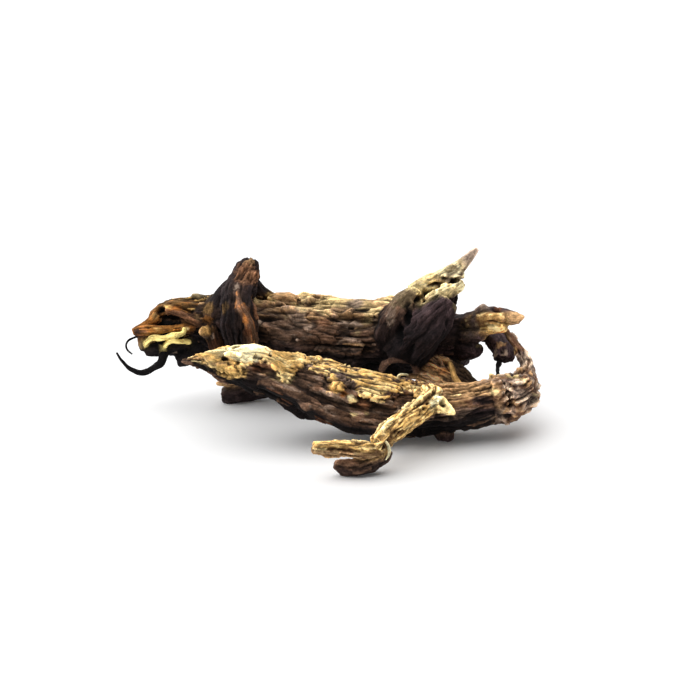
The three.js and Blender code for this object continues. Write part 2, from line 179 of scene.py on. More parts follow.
# %% Routes
ROUTES = {
    # main root
    "trunk": [
        (-41, 28, 25, 8), (-33, 27, 24.5, 10.2), (-22, 27, 23.8, 11.3), (-9, 27, 21.6, 11.6),
        (4, 27, 20.3, 11.6), (17, 27, 20.3, 11.8), (29, 26, 20, 11), (38, 25.5, 20.5, 8.8),
        (44.5, 25, 23, 6),
    ],
    "foot_left": [
        (-9, 30, 10.5, 5), (-16, 29.5, 6.5, 4.6), (-23.5, 28, 4, 4), (-30, 26.5, 2.3, 3.4),
        (-33.5, 26.5, 2, 2.4),
    ],
    "bark_scale": [
        (-19, 28, 6, 1.6), (-25, 27, 6.1, 1.3), (-31, 26, 6.1, 1.1), (-35.5, 26, 6.2, 0.7),
    ],
    "foot_back": [(18, 32, 17, 7.5), (19, 32, 8, 4.8), (20, 32, -1, 2.8)],
    "foot_middle": [(29, 28, 16.5, 6.3), (33, 24, 10.5, 6), (35, 21, 5.5, 4.3), (37, 19, -1, 2.8)],
    "low_rootlet": [
        (25, 26, 16.5, 7.5), (32, 20, 14.5, 6.2), (38, 15, 13, 4.6), (42.5, 13, 11.5, 2.8),
        (46, 12, 9.5, 1.8),
    ],
    "ring_rootlet": [
        (17, 20, 12.5, 1.6), (17.3, 16, 15.5, 1.3), (19.5, 12.5, 18.3, 1.1), (23, 11, 19, 1.1),
        (26, 12, 17.5, 1.2), (27.5, 15, 14, 1.4),
    ],
    # upright peg
    "peg": [
        (-25.5, 17, 19.5, 4.4), (-27, 14, 27.5, 5.5), (-27.5, 16, 34, 5.3), (-26.5, 22, 38.5, 5),
        (-25, 25, 42.3, 4.3), (-23.9, 26.5, 45, 3.3), (-23.4, 27, 46.6, 1.9),
    ],
    "peg_flare_left": [
        (-35.5, 21, 29.5, 2.8), (-34, 23, 34, 2.4), (-31.7, 25, 37.2, 2.1), (-28.5, 26, 40.5, 1.7),
    ],
    "peg_flare_right": [
        (-23.5, 27, 41, 1.6), (-22.5, 28, 37.5, 2.3), (-19.5, 29, 33.3, 2.6), (-14, 30, 30.8, 2.4),
    ],
    "peg_rib": [
        (-27.5, 19, 40, 1.4), (-27, 12, 37, 1.5), (-25, 11, 33.5, 1.8), (-23.5, 10.5, 29, 2),
        (-23, 11.5, 23, 2.1),
    ],
    # crown of rootlets
    "crown_upper": [
        (-36.5, 28, 27.5, 7.3), (-42.5, 27, 29.5, 4.6), (-48.5, 26, 30.9, 3.6), (-53, 25, 29.7, 2.5),
        (-55, 24, 28, 1.6),
    ],
    "crown_core": [(-38, 27, 25, 6.5), (-45, 26, 26, 5), (-51, 25, 25.5, 4), (-55.5, 23, 24.5, 2.6)],
    "crown_spur": [(-37.5, 28, 32.5, 2.2), (-40.5, 28, 33.8, 1.6), (-42.5, 28, 34.6, 0.8)],
    "crown_middle": [
        (-38.5, 24, 25.6, 3.2), (-45.5, 19, 26.4, 1.5), (-52, 18, 26.1, 1.8), (-56.5, 18, 26, 1.9),
        (-60, 18.5, 25.7, 1),
    ],
    "crown_wedge": [(-52.5, 22, 29.8, 2.3), (-56, 21, 27.2, 1.6), (-60.5, 20, 25.7, 0.6)],
    "crown_end": [(-56, 19, 25.5, 2.1), (-57, 19, 22.8, 2.2), (-56, 19, 20, 2)],
    "crown_lower": [
        (-40, 24, 21.2, 4.1), (-47, 20, 20.6, 3), (-53, 19, 20.4, 2.8), (-56.5, 19, 19.9, 2.1),
    ],
    "crown_under": [(-38, 23, 19.8, 3.7), (-42.5, 20, 17.3, 3.2), (-47, 19, 16.2, 2.3)],
    "crown_knob": [(-36.5, 21, 24.6, 2.3), (-37.3, 16, 26.2, 2), (-37.6, 13, 27.4, 1.7)],
    "crown_rib": [(-37, 22, 28, 2.8), (-35, 17, 24, 2.8), (-33, 15, 19.5, 2.2)],
    "pale_fibre_upper": [
        (-56, 17, 22, 0.7), (-53.5, 15.5, 24.5, 0.9), (-50, 15.5, 24.5, 0.9), (-47, 15.5, 25, 0.9),
        (-44.5, 15.5, 26, 0.8), (-44, 17, 27.5, 0.6),
    ],
    "pale_fibre_lower": [
        (-50.5, 17, 21, 0.6), (-48, 15.5, 23.5, 0.8), (-46, 15.5, 23.5, 0.8), (-42.5, 19, 22, 0.6),
    ],
    "hook_rootlet": [
        (-51.5, 18, 22.5, 1.5), (-50.5, 17, 19.5, 1.5), (-51.5, 16, 16, 1.3), (-54, 16, 14, 1.1),
        (-57.5, 16, 13.5, 0.9), (-60.5, 16, 14.2, 0.7), (-62.8, 16, 16.4, 0.5), (-65, 16, 19.7, 0.3),
    ],
    "hair_rootlet": [
        (-57, 18, 25, 0.5), (-59.2, 17, 24.5, 0.4), (-61.2, 17, 23.4, 0.35), (-62, 17, 21.8, 0.35),
        (-61.6, 17, 20.3, 0.3), (-60.2, 17, 18.9, 0.25),
    ],
    # broken branch
    "branch_core": [(22.5, 25, 19.5, 8.8), (27.5, 24, 27.5, 8), (33, 23, 34, 6.2), (37, 22, 39.5, 4.2)],
    "branch_left_lobe": [
        (19.5, 21, 21.5, 6.8), (22.5, 17, 30.5, 5.7), (25.3, 17, 36, 4.2), (27.8, 18.5, 38.8, 2.3),
    ],
    "branch_right_lobe": [
        (23.5, 18, 19.5, 7.4), (29.5, 12, 28.5, 6.7), (34, 11.5, 34, 5), (36.8, 13.5, 37.3, 3.4),
    ],
    "branch_slab": [(29, 22.5, 35, 4.4), (34.5, 22.5, 39.5, 4.2), (39, 22.5, 43, 3)],
    "break_rim_back": [
        (26, 20.5, 37.3, 2.7), (31, 20.5, 40.6, 2.8), (36, 20.5, 43.4, 2.6), (40, 21, 45.8, 2.2),
    ],
    "break_spike": [(37, 21, 42.5, 3), (41.5, 21, 46.4, 1.9), (44.1, 21, 49.6, 1.3), (45.9, 21, 51.6, 0.9)],
    "break_rim_end": [(36, 19, 42.5, 2.3), (40, 19, 43.8, 1.7), (42, 19, 43.6, 0.9)],
    "break_rim_front": [
        (30.5, 15, 35.8, 2.4), (35.5, 15, 39.2, 2.7), (39, 16, 40.8, 2.3), (41.5, 17, 41.8, 1.2),
    ],
    # broken rootlet cluster
    "cluster_base": [(35, 24, 22, 8.1), (40.5, 23, 24.2, 5.9), (45.5, 21, 25.6, 4.4)],
    "rootlet_back": [
        (43.5, 22, 26.5, 4.3), (48.5, 17, 31, 3.1), (52.5, 12.5, 33.2, 2.6), (55.8, 9, 33.2, 2.5),
        (57.8, 7, 33.8, 1.5), (59.3, 6, 34.4, 0.5),
    ],
    "rootlet_upper": [(45, 19, 28, 3.4), (48, 13, 31.3, 2.2), (51, 10, 32.7, 1.9), (54, 8, 33.6, 1.6)],
    "rootlet_nub": [(46.5, 17, 32, 1.8), (48.4, 15.5, 34.8, 1.2)],
    "rootlet_lower": [(44, 21, 24, 4), (48, 14, 27.8, 2.3), (51, 10.5, 29.4, 1.9), (54, 8.5, 30.3, 1.7)],
    "rootlet_tan": [(42, 22, 22.5, 4.4), (44.8, 15.5, 25.2, 2.5), (47.3, 12.5, 26.5, 1.9)],
    "rootlet_green": [(40, 24, 18.5, 5), (43.5, 17, 20.4, 3.3), (46.3, 13, 21.6, 2.3)],
    "rootlet_knob": [
        (51.5, 24, 22.5, 3.5), (53, 19, 21.5, 3.6), (54.3, 15, 20.4, 3.7), (54.3, 13, 18.6, 3.1),
    ],
    "knob_strand": [(53, 14, 17.5, 0.8), (51.8, 8, 16.4, 0.6), (51.3, 1, 15, 0.8)],
    "pale_strand": [
        (37.3, 9, 18.8, 0.6), (38, 5, 17, 0.9), (39.5, 0, 15.3, 0.9), (40.4, -3, 14, 0.9),
    ],
    # bend
    "bend": [
        (51.5, -6, 12.3, 7.3), (56, -2.5, 12.4, 6.9), (59.6, 6, 13.9, 4), (61.5, 13, 16, 2.2),
        (60.4, 19, 17.8, 1.9), (58.3, 23, 20.2, 1.6), (56, 25, 22.6, 2), (51.5, 26, 23.5, 3.4),
        (47, 26, 24, 4.4),
    ],
    "bend_knob": [(60.5, 1, 10.5, 3), (64, 2, 11, 1.5)],
    # front root
    "front_root": [
        (-42.8, -6, 24.7, 0.6), (-38, -6.3, 24.4, 1.8), (-32.5, -6, 23.6, 4.1), (-26.5, -6, 22.6, 6),
        (-20.5, -6, 21.5, 6.9), (-14.5, -6, 19.6, 6.2), (-7, -6, 17.1, 7.8), (0.5, -6, 14.1, 9.2),
        (7.5, -6, 11.9, 9.1), (15.5, -6, 10, 8.8), (23, -6, 9.3, 8.4), (31.5, -6, 9.3, 7.8),
        (39.5, -6.5, 10.4, 7.3), (46.5, -6.5, 11.6, 6.9), (52, -5, 12.6, 7.1),
    ],
    "front_rib": [
        (-22, -9, 20.3, 1.6), (-17, -11.5, 19.3, 2.5), (-9, -13.8, 16.4, 3), (1, -15, 11.4, 3.9),
        (11, -15, 8.2, 3.8), (21, -14, 7.2, 3),
    ],
    "tip_splinter": [(-31, -8, 25.6, 2), (-35, -8.8, 26.7, 1.1), (-38.4, -9, 27.5, 0.4)],
    "knob_left": [(-3, -4, 22, 2.3), (-2.4, -3, 24, 1.5), (-2.3, -3, 24.9, 1.1)],
    "knob_right": [(5, -4, 19.5, 2.4), (4.5, -3, 21.5, 1.5), (4.5, -3, 22, 1)],
    "foot_front": [(34, -6, 8.5, 5.4), (34.5, -7, 4, 3.6), (35, -7, -1, 2.4)],
    # forked twig
    "twig": [
        (30, -11, 17, 3.2), (30.5, -15, 15, 3.8), (26.5, -20, 13, 3.5), (22, -25, 12, 3.3),
        (18, -30, 10.4, 3), (15, -33.5, 8.5, 3),
    ],
    "twig_horn": [(27.5, -12, 15.5, 2), (27, -11, 17.5, 1.6)],
    "twig_break": [
        (29.5, -15, 15, 3.5), (33.5, -17, 14.5, 2.6), (35.5, -18, 13.5, 1.7), (37.5, -19, 12.5, 0.5),
    ],
    "twig_left": [
        (15.5, -34, 7.6, 2.4), (10.5, -35.5, 7.8, 2.4), (5, -36.5, 8.8, 2.2), (0.5, -37.5, 9.4, 2.1),
        (-3.5, -38.5, 9.9, 2),
    ],
    "twig_low": [
        (17, -33, 7.5, 2.8), (15.7, -34, 4.8, 2.8), (10.5, -34.5, 2.5, 2.9), (6, -35, 2.5, 2.4),
        (2.6, -35, 3.4, 1.4),
    ],
    # small forms that stand out from the thick roots
    "trunk_ridge": [(-18, 27, 32.2, 2.6), (-14, 27, 33.7, 2.7), (-10, 27, 32.2, 2.4)],
    "crown_strand": [
        (-50.5, 22.5, 31.6, 1.4), (-46, 21.8, 30.4, 1.7), (-42, 20.8, 28.8, 1.7),
        (-38.5, 20.5, 26.8, 1.6),
    ],
    "tip_prong": [(-29.5, -6.5, 26.9, 1.8), (-33, -7.2, 27.4, 1.1), (-35.8, -8, 27.6, 0.4)],
}
ROOTS = list(ROUTES)
print(len(ROOTS), "roots, branches and rootlets")

# %% [markdown]
# ## Walking along a root
#
# Each route becomes a dense line of stations. At every station there is a middle, a radius, the
# direction of the grain and two directions across it, so that any point on the bark can be
# described as if the root were pulled straight: how far along, and where across.

# %% Stations along a root
STATION_GAP = 0.7


def smooth_route(route):
    """Stations of x, y, z and radius about every STATION_GAP mm on a smooth curve through the route."""
    given = np.array(route, float)
    padded = np.vstack([2 * given[0] - given[1], given, 2 * given[-1] - given[-2]])
    stretches = []
    for before, start, end, after in zip(padded, padded[1:], padded[2:], padded[3:]):
        count = max(2, round(np.linalg.norm((end - start)[:3]) / STATION_GAP))
        t = np.linspace(0, 1, count, endpoint=False)[:, None]
        bend_in = 2 * before - 5 * start + 4 * end - after
        bend_out = 3 * start - 3 * end + after - before
        stretches.append(0.5 * (2 * start + (end - before) * t + bend_in * t**2 + bend_out * t**3))
    return np.vstack(stretches + [given[-1:]])


def unit(vectors):
    return vectors / np.linalg.norm(vectors, axis=-1, keepdims=True)


class Root:
    """One root with its stations, its grain and the two directions across the grain."""

    def __init__(self, name, number):
        stations = smooth_route(ROUTES[name])
        self.number = number
        self.middle = stations[:, :3]
        self.radius = stations[:, 3]
        self.grain = unit(np.gradient(self.middle, axis=0))
        lean = np.abs(self.grain).max(axis=0)
        steady = np.eye(3)[lean.argmin()]
        self.side = unit(np.cross(steady, self.grain))
        self.over = np.cross(self.side, self.grain)
        steps = np.linalg.norm(np.diff(self.middle, axis=0), axis=1)
        self.along = np.concatenate([[0], np.cumsum(steps)])
        self.length = self.along[-1]


roots = [Root(name, number) for number, name in enumerate(ROOTS)]
print("total length of root:", round(sum(root.length for root in roots)), "mm")

# %% [markdown]
# ## Finding the root under a point
#
# A point on the skin belongs to the root whose surface it is nearest to. Where two roots are about
# as near, the point lies in the crease between them, and the bark there is quieter.

# %% Which root a point lies on
REACH = 6.0
FAR = 99.0
CREASE_WIDTH = 1.4
ROOT_SHIFT = 17.3


class Bark:
    """For many points at once: the root each lies on and its place on that root pulled straight."""

    def __init__(self, points):
        count = len(points)
        self.points = points
        self.gaps = np.full((count, len(roots)), FAR, np.float32)
        self.root = np.zeros(count, int)
        self.along = np.zeros(count)
        self.across = np.zeros((count, 2))
        self.up = np.zeros(count)
        self.radius = np.ones(count)
        nearest = np.full(count, FAR)
        for root in roots:
            margin = root.radius.max() + REACH
            low, high = root.middle.min(axis=0) - margin, root.middle.max(axis=0) + margin
            close = np.flatnonzero(((points > low) & (points < high)).all(axis=1))
            if len(close) == 0:
                continue
            here = points[close]
            squares = (here**2).sum(axis=1)[:, None] + (root.middle**2).sum(axis=1)
            squares = squares - 2 * here @ root.middle.T
            station = squares.argmin(axis=1)
            offset = here - root.middle[station]
            radius = root.radius[station]
            gap = np.linalg.norm(offset, axis=1) - radius
            self.gaps[close, root.number] = gap
            won = gap < nearest[close]
            chosen, station, offset, radius = close[won], station[won], offset[won], radius[won]
            nearest[chosen] = gap[won]
            self.root[chosen] = root.number
            self.along[chosen] = root.along[station] + (offset * root.grain[station]).sum(axis=1)
            self.across[chosen, 0] = (offset * root.side[station]).sum(axis=1)
            self.across[chosen, 1] = (offset * root.over[station]).sum(axis=1)
            self.up[chosen] = offset[:, 2] / radius
            self.radius[chosen] = radius
        two_nearest = np.partition(self.gaps, 1, axis=1)[:, :2]
        self.lone = np.clip((two_nearest[:, 1] - two_nearest[:, 0]) / CREASE_WIDTH, 0, 1)

    def on(self, *names):
        """1 where a point lies on one of the named roots, else 0."""
        return np.isin(self.root, [ROOTS.index(name) for name in names]).astype(float)

    def straight(self, length, width):
        """Places on the pulled-straight roots, in units of length along and width across the grain."""
        place = np.column_stack([self.along / length, self.across[:, 0] / width, self.across[:, 1] / width])
        return place + ROOT_SHIFT * self.root[:, None]

# %% [markdown]
# ## Three patterns for bark
#
# `soft_noise` rolls gently up and down. `creased` folds it, which gives round ridges with a sharp
# crease between them, as dried bark has. `plates` breaks the surface into scales, each with its own
# height. Places are divided by the size that a pattern should have, and a number added to them
# shifts the pattern, so that no two patterns fall together.

# %% Patterns
SEED = 11
dice = np.random.default_rng(SEED)
SHUFFLE = dice.permutation(256)
SLOPES = unit(dice.normal(size=(256, 3)))
JITTER = dice.random((256, 3))


def scramble(cell):
    """One steady number from 0 to 255 for each whole-numbered cell."""
    cell = cell & 255
    first = SHUFFLE[cell[:, 0]]
    second = SHUFFLE[(first + cell[:, 1]) & 255]
    return SHUFFLE[(second + cell[:, 2]) & 255]


def soft_noise(places):
    """Smooth noise from about -1 to 1."""
    cell = np.floor(places).astype(int)
    inside = places - cell
    fade = inside**3 * (inside * (inside * 6 - 15) + 10)
    total = np.zeros(len(places))
    for corner in itertools.product((0, 1), repeat=3):
        corner = np.array(corner)
        weight = np.where(corner == 1, fade, 1 - fade).prod(axis=1)
        total += weight * (SLOPES[scramble(cell + corner)] * (inside - corner)).sum(axis=1)
    return total * 1.6


def creased(places):
    """Round ridges from 0 in a sharp crease to 1 on the ridge."""
    return np.clip(np.abs(soft_noise(places)) * 2.0, 0, 1)


def plates(places):
    """Scales: how far inside its scale a place is, the scale's own number, and how its face leans there."""
    cell = np.floor(places).astype(int)
    nearest = np.full(len(places), FAR)
    second = np.full(len(places), FAR)
    owner = np.zeros(len(places), int)
    lean = np.zeros(len(places))
    for offset in itertools.product((-1, 0, 1), repeat=3):
        neighbour = cell + np.array(offset)
        mark = scramble(neighbour)
        apart = places - neighbour - JITTER[mark]
        away = np.linalg.norm(apart, axis=1)
        closer = away < nearest
        second = np.where(closer, nearest, np.minimum(second, away))
        owner = np.where(closer, mark, owner)
        lean = np.where(closer, (apart * SLOPES[mark]).sum(axis=1), lean)
        nearest = np.where(closer, away, nearest)
    return second - nearest, owner / 255, lean


def ramp(values, start, end):
    """0 before start, 1 after end, and smooth between them."""
    t = np.clip((values - start) / (end - start), 0, 1)
    return t * t * (3 - 2 * t)

# %% [markdown]
# ## The skin
#
# The bark needs an even, dense mesh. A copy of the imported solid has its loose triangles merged,
# Remesh gives it even squares, and Smooth takes the facets of the solid away. The thinnest rootlets
# then come off, because they are finer than the mesh and get their own pieces below. The work is
# done in millimetres, where Remesh is comfortable.

# %% An even skin over the solid
THIN_ROOTS = [
    "hair_rootlet", "hook_rootlet", "pale_fibre_upper", "pale_fibre_lower", "knob_strand", "pale_strand",
]
SKIN_STEP = 0.32
SKIN_SMOOTHING = 12
SMOOTHING_SHARE = 0.5
MERGE_DISTANCE = 0.001
CLEAR_OF_CREASE = 0.3


def points_of(mesh):
    places = np.zeros(len(mesh.vertices) * 3)
    mesh.vertices.foreach_get("co", places)
    return places.reshape(-1, 3)


def normals_of(mesh):
    normals = np.zeros(len(mesh.vertices) * 3)
    mesh.vertices.foreach_get("normal", normals)
    return normals.reshape(-1, 3)


def place_points(mesh, places):
    mesh.vertices.foreach_set("co", places.ravel())
    mesh.update()


def new_object(name, mesh):
    thing = bpy.data.objects.new(name, mesh)
    bpy.context.scene.collection.objects.link(thing)
    return thing


def merged_solid():
    """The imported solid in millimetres, with its loose triangles merged into one closed skin."""
    shape = bmesh.new()
    shape.from_mesh(SOLID.data)
    bmesh.ops.scale(shape, vec=(1 / MM, 1 / MM, 1 / MM), verts=shape.verts)
    bmesh.ops.remove_doubles(shape, verts=shape.verts, dist=MERGE_DISTANCE)
    mesh = bpy.data.meshes.new("merged_solid")
    shape.to_mesh(mesh)
    shape.free()
    return mesh


def applied(thing, name):
    """The mesh that an object's modifiers make, as a mesh of its own."""
    depsgraph = bpy.context.evaluated_depsgraph_get()
    mesh = bpy.data.meshes.new_from_object(thing.evaluated_get(depsgraph))
    mesh.name = name
    bpy.data.objects.remove(thing)
    return mesh


def even_skin():
    rough = new_object("rough_skin", merged_solid())
    remesh = rough.modifiers.new("even", "REMESH")
    remesh.mode = "VOXEL"
    remesh.voxel_size = SKIN_STEP
    smooth = rough.modifiers.new("smooth", "SMOOTH")
    smooth.factor = SMOOTHING_SHARE
    smooth.iterations = SKIN_SMOOTHING
    return applied(rough, "skin")


def drop_thin_roots(mesh):
    """Take the thinnest rootlets off the skin and close the places where they grew."""
    bark = Bark(points_of(mesh))
    thin = bark.on(*THIN_ROOTS) * (bark.lone > CLEAR_OF_CREASE)
    shape = bmesh.new()
    shape.from_mesh(mesh)
    shape.verts.ensure_lookup_table()
    doomed = [shape.verts[index] for index in np.flatnonzero(thin)]
    bmesh.ops.delete(shape, geom=doomed, context="VERTS")
    cuts = [edge for edge in shape.edges if edge.is_boundary]
    bmesh.ops.holes_fill(shape, edges=cuts, sides=0)
    shape.to_mesh(mesh)
    shape.free()
    print("took off", len(doomed), "points of thin rootlets")


def hollows(mesh, passes):
    """How deep each point lies below its surroundings in mm; ridges are negative."""
    ends = np.zeros(len(mesh.edges) * 2, int)
    mesh.edges.foreach_get("vertices", ends)
    start, end = ends[0::2], ends[1::2]
    count = len(mesh.vertices)
    neighbours = np.maximum(np.bincount(start, minlength=count) + np.bincount(end, minlength=count), 1)
    original = points_of(mesh)
    level = original.copy()
    for _ in range(passes):
        total = [
            np.bincount(start, level[end, side], count) + np.bincount(end, level[start, side], count)
            for side in range(3)
        ]
        level = 0.5 * level + 0.5 * np.column_stack(total) / neighbours[:, None]
    return ((level - original) * normals_of(mesh)).sum(axis=1)


skin_mesh = even_skin()
drop_thin_roots(skin_mesh)
print("skin:", len(skin_mesh.vertices), "points")

# %% [markdown]
# ## Kinds of bark
#
# The same root wears several kinds of bark. The main root is broken into long plates, the front
# root is stringy, the bend is scaly, the twig is wrinkled lengthways, and the broken ends are
# crumbly bare wood. Each kind is a handful of depths and spacings in millimetres.

# %% Kinds of bark and colours
KINDS = {
    # furrow depth, apart, long; plate depth, wide, long; fibre depth
    "plated": (1.10, 3.0, 26.0, 1.30, 5.0, 12.0, 0.20),
    "stringy": (1.00, 1.8, 17.0, 0.60, 2.4, 10.0, 0.34),
    "scaly": (0.85, 1.9, 11.0, 0.80, 2.5, 5.0, 0.24),
    "wrinkled": (0.95, 0.9, 8.0, 0.30, 1.6, 6.0, 0.20),
    "smooth": (0.40, 1.2, 12.0, 0.20, 2.0, 7.0, 0.12),
    "hard": (0.75, 2.8, 22.0, 0.45, 3.6, 9.0, 0.12),
    "crumbly": (0.65, 1.4, 4.5, 0.75, 1.7, 3.2, 0.30),
}

COLOURS = {
    "ink": (15, 12, 13),
    "soot": (36, 27, 27),
    "plum": (58, 45, 46),
    "rust": (82, 51, 33),
    "umber": (98, 74, 58),
    "moss": (102, 90, 66),
    "russet": (122, 85, 61),
    "olive": (106, 80, 46),
    "copper": (150, 98, 44),
    "taupe": (152, 132, 116),
    "tan": (174, 137, 96),
    "ochre": (158, 122, 72),
    "amber": (190, 120, 58),
    "gold": (212, 170, 102),
    "shell": (224, 200, 174),
    "lemon": (248, 224, 140),
    "straw": (236, 210, 150),
    "cream": (247, 233, 186),
}

LOOKS = {
    # root: bark and colour
    "trunk": ("plated", "umber"), "foot_left": ("hard", "soot"), "bark_scale": ("smooth", "tan"),
    "foot_back": ("plated", "umber"), "foot_middle": ("hard", "soot"),
    "low_rootlet": ("stringy", "tan"), "ring_rootlet": ("smooth", "umber"),
    "peg": ("stringy", "soot"), "peg_flare_left": ("hard", "soot"),
    "peg_flare_right": ("plated", "soot"), "peg_rib": ("smooth", "umber"),
    # crown_core, crown_lower and crown_under take ink and soot: painted shade under the crown
    "crown_upper": ("hard", "olive"), "crown_core": ("hard", "ink"),
    "crown_spur": ("smooth", "moss"), "crown_middle": ("wrinkled", "copper"),
    "crown_wedge": ("wrinkled", "copper"), "crown_end": ("hard", "rust"),
    "crown_lower": ("smooth", "soot"), "crown_under": ("hard", "ink"),
    "crown_knob": ("smooth", "ochre"), "crown_rib": ("stringy", "rust"),
    "pale_fibre_upper": ("smooth", "lemon"), "pale_fibre_lower": ("smooth", "lemon"),
    "hook_rootlet": ("smooth", "ink"), "hair_rootlet": ("smooth", "ink"),
    "branch_core": ("crumbly", "soot"), "branch_left_lobe": ("hard", "umber"),
    "branch_right_lobe": ("hard", "plum"), "branch_slab": ("crumbly", "soot"),
    "break_rim_back": ("crumbly", "straw"), "break_rim_front": ("crumbly", "straw"),
    "break_spike": ("hard", "taupe"), "break_rim_end": ("crumbly", "plum"),
    "cluster_base": ("hard", "plum"), "rootlet_back": ("smooth", "plum"),
    "rootlet_upper": ("smooth", "ochre"), "rootlet_nub": ("smooth", "taupe"),
    "rootlet_lower": ("smooth", "gold"), "rootlet_tan": ("smooth", "plum"),
    "rootlet_green": ("smooth", "soot"), "rootlet_knob": ("scaly", "plum"),
    "knob_strand": ("smooth", "ink"), "pale_strand": ("smooth", "ochre"),
    "bend": ("scaly", "umber"), "bend_knob": ("scaly", "umber"), "front_root": ("stringy", "umber"),
    "front_rib": ("hard", "umber"), "tip_splinter": ("smooth", "straw"),
    "knob_left": ("smooth", "straw"), "knob_right": ("smooth", "tan"),
    "foot_front": ("hard", "soot"), "twig": ("wrinkled", "gold"), "twig_horn": ("wrinkled", "gold"),
    "twig_break": ("crumbly", "straw"), "twig_left": ("wrinkled", "gold"),
    "twig_low": ("stringy", "umber"), "trunk_ridge": ("plated", "tan"),
    "crown_strand": ("stringy", "russet"), "tip_prong": ("smooth", "straw"),
}
KIND_TABLE = np.array([KINDS[LOOKS[name][0]] for name in ROOTS])


def daylight(colour):
    """A colour of 0 to 255 as the share of light that it reflects, 0 to 1."""
    share = np.array(colour, float) / 255
    return np.where(share <= 0.04045, share / 12.92, ((share + 0.055) / 1.055) ** 2.4)


PALEST = 0.9
PAINTS = {name: PALEST * daylight(colour) for name, colour in COLOURS.items()}
ROOT_PAINTS = np.array([PAINTS[LOOKS[name][1]] for name in ROOTS])
print(len(KINDS), "kinds of bark,", len(COLOURS), "colours")

# %% [markdown]
# ## The torn outer layer
#
# On the front root the pale inner bark still lies over the top like a torn rag: it covers the tip,
# hangs down in a lobe and then thins to a strip on the ridge. Its edge is ragged and stands proud
# of the dark root under it.

# %% Where the pale layer lies
LAYER_EDGE = [
    # x, and the height of the layer's lower edge there, in mm
    (-43, 26.2), (-38, 25.7), (-34, 24.2), (-30, 22.4), (-26, 21.6), (-24.5, 22.9), (-22, 25.6),
    (-17.5, 26.3), (-15, 23.3), (-12.5, 20.1), (-10, 20.9), (-8, 23.2), (-6.5, 23.9), (-3, 22.7),
    (0, 21.3), (2, 19.2), (4, 18.4), (6, 20.6), (8, 19.6), (10, 15.9), (13, 15.2),
    (17, 15.0), (20, 15.6), (25, 16.6), (29, 17.2), (34, 19.0), (45, 26.0),
]
RAGGEDNESS = 1.3


def pale_layer(bark):
    """1 on the torn pale layer of the front root, 0 off it, with a ragged edge and holes."""
    stations, edge = zip(*LAYER_EDGE)
    limit = np.interp(bark.points[:, 0], stations, edge)
    rag = soft_noise(bark.points / 2.2) + 0.6 * soft_noise(bark.points / 0.8)
    holes = ramp(soft_noise(bark.points / 1.5 + 7.7), 0.36, 0.50)
    height = bark.points[:, 2] + RAGGEDNESS * rag - limit - 3.0 * holes
    # at the torn tip the layer thins out slowly, elsewhere it ends in a clear edge
    fade = np.interp(bark.points[:, 0], (-28, -22), (1.3, 0.25))
    return ramp(height / fade, -1, 1) * bark.on("front_root", "front_rib", "knob_left", "tip_splinter")


# %% [markdown]
# ## Pits and lumps
#
# Some features are big enough to be placed one by one: the deep pit in the front root and the bud
# beside it, the eyelet in its torn tip, worm holes in the twig, the cleft down the broken branch
# and the buds on the bend.

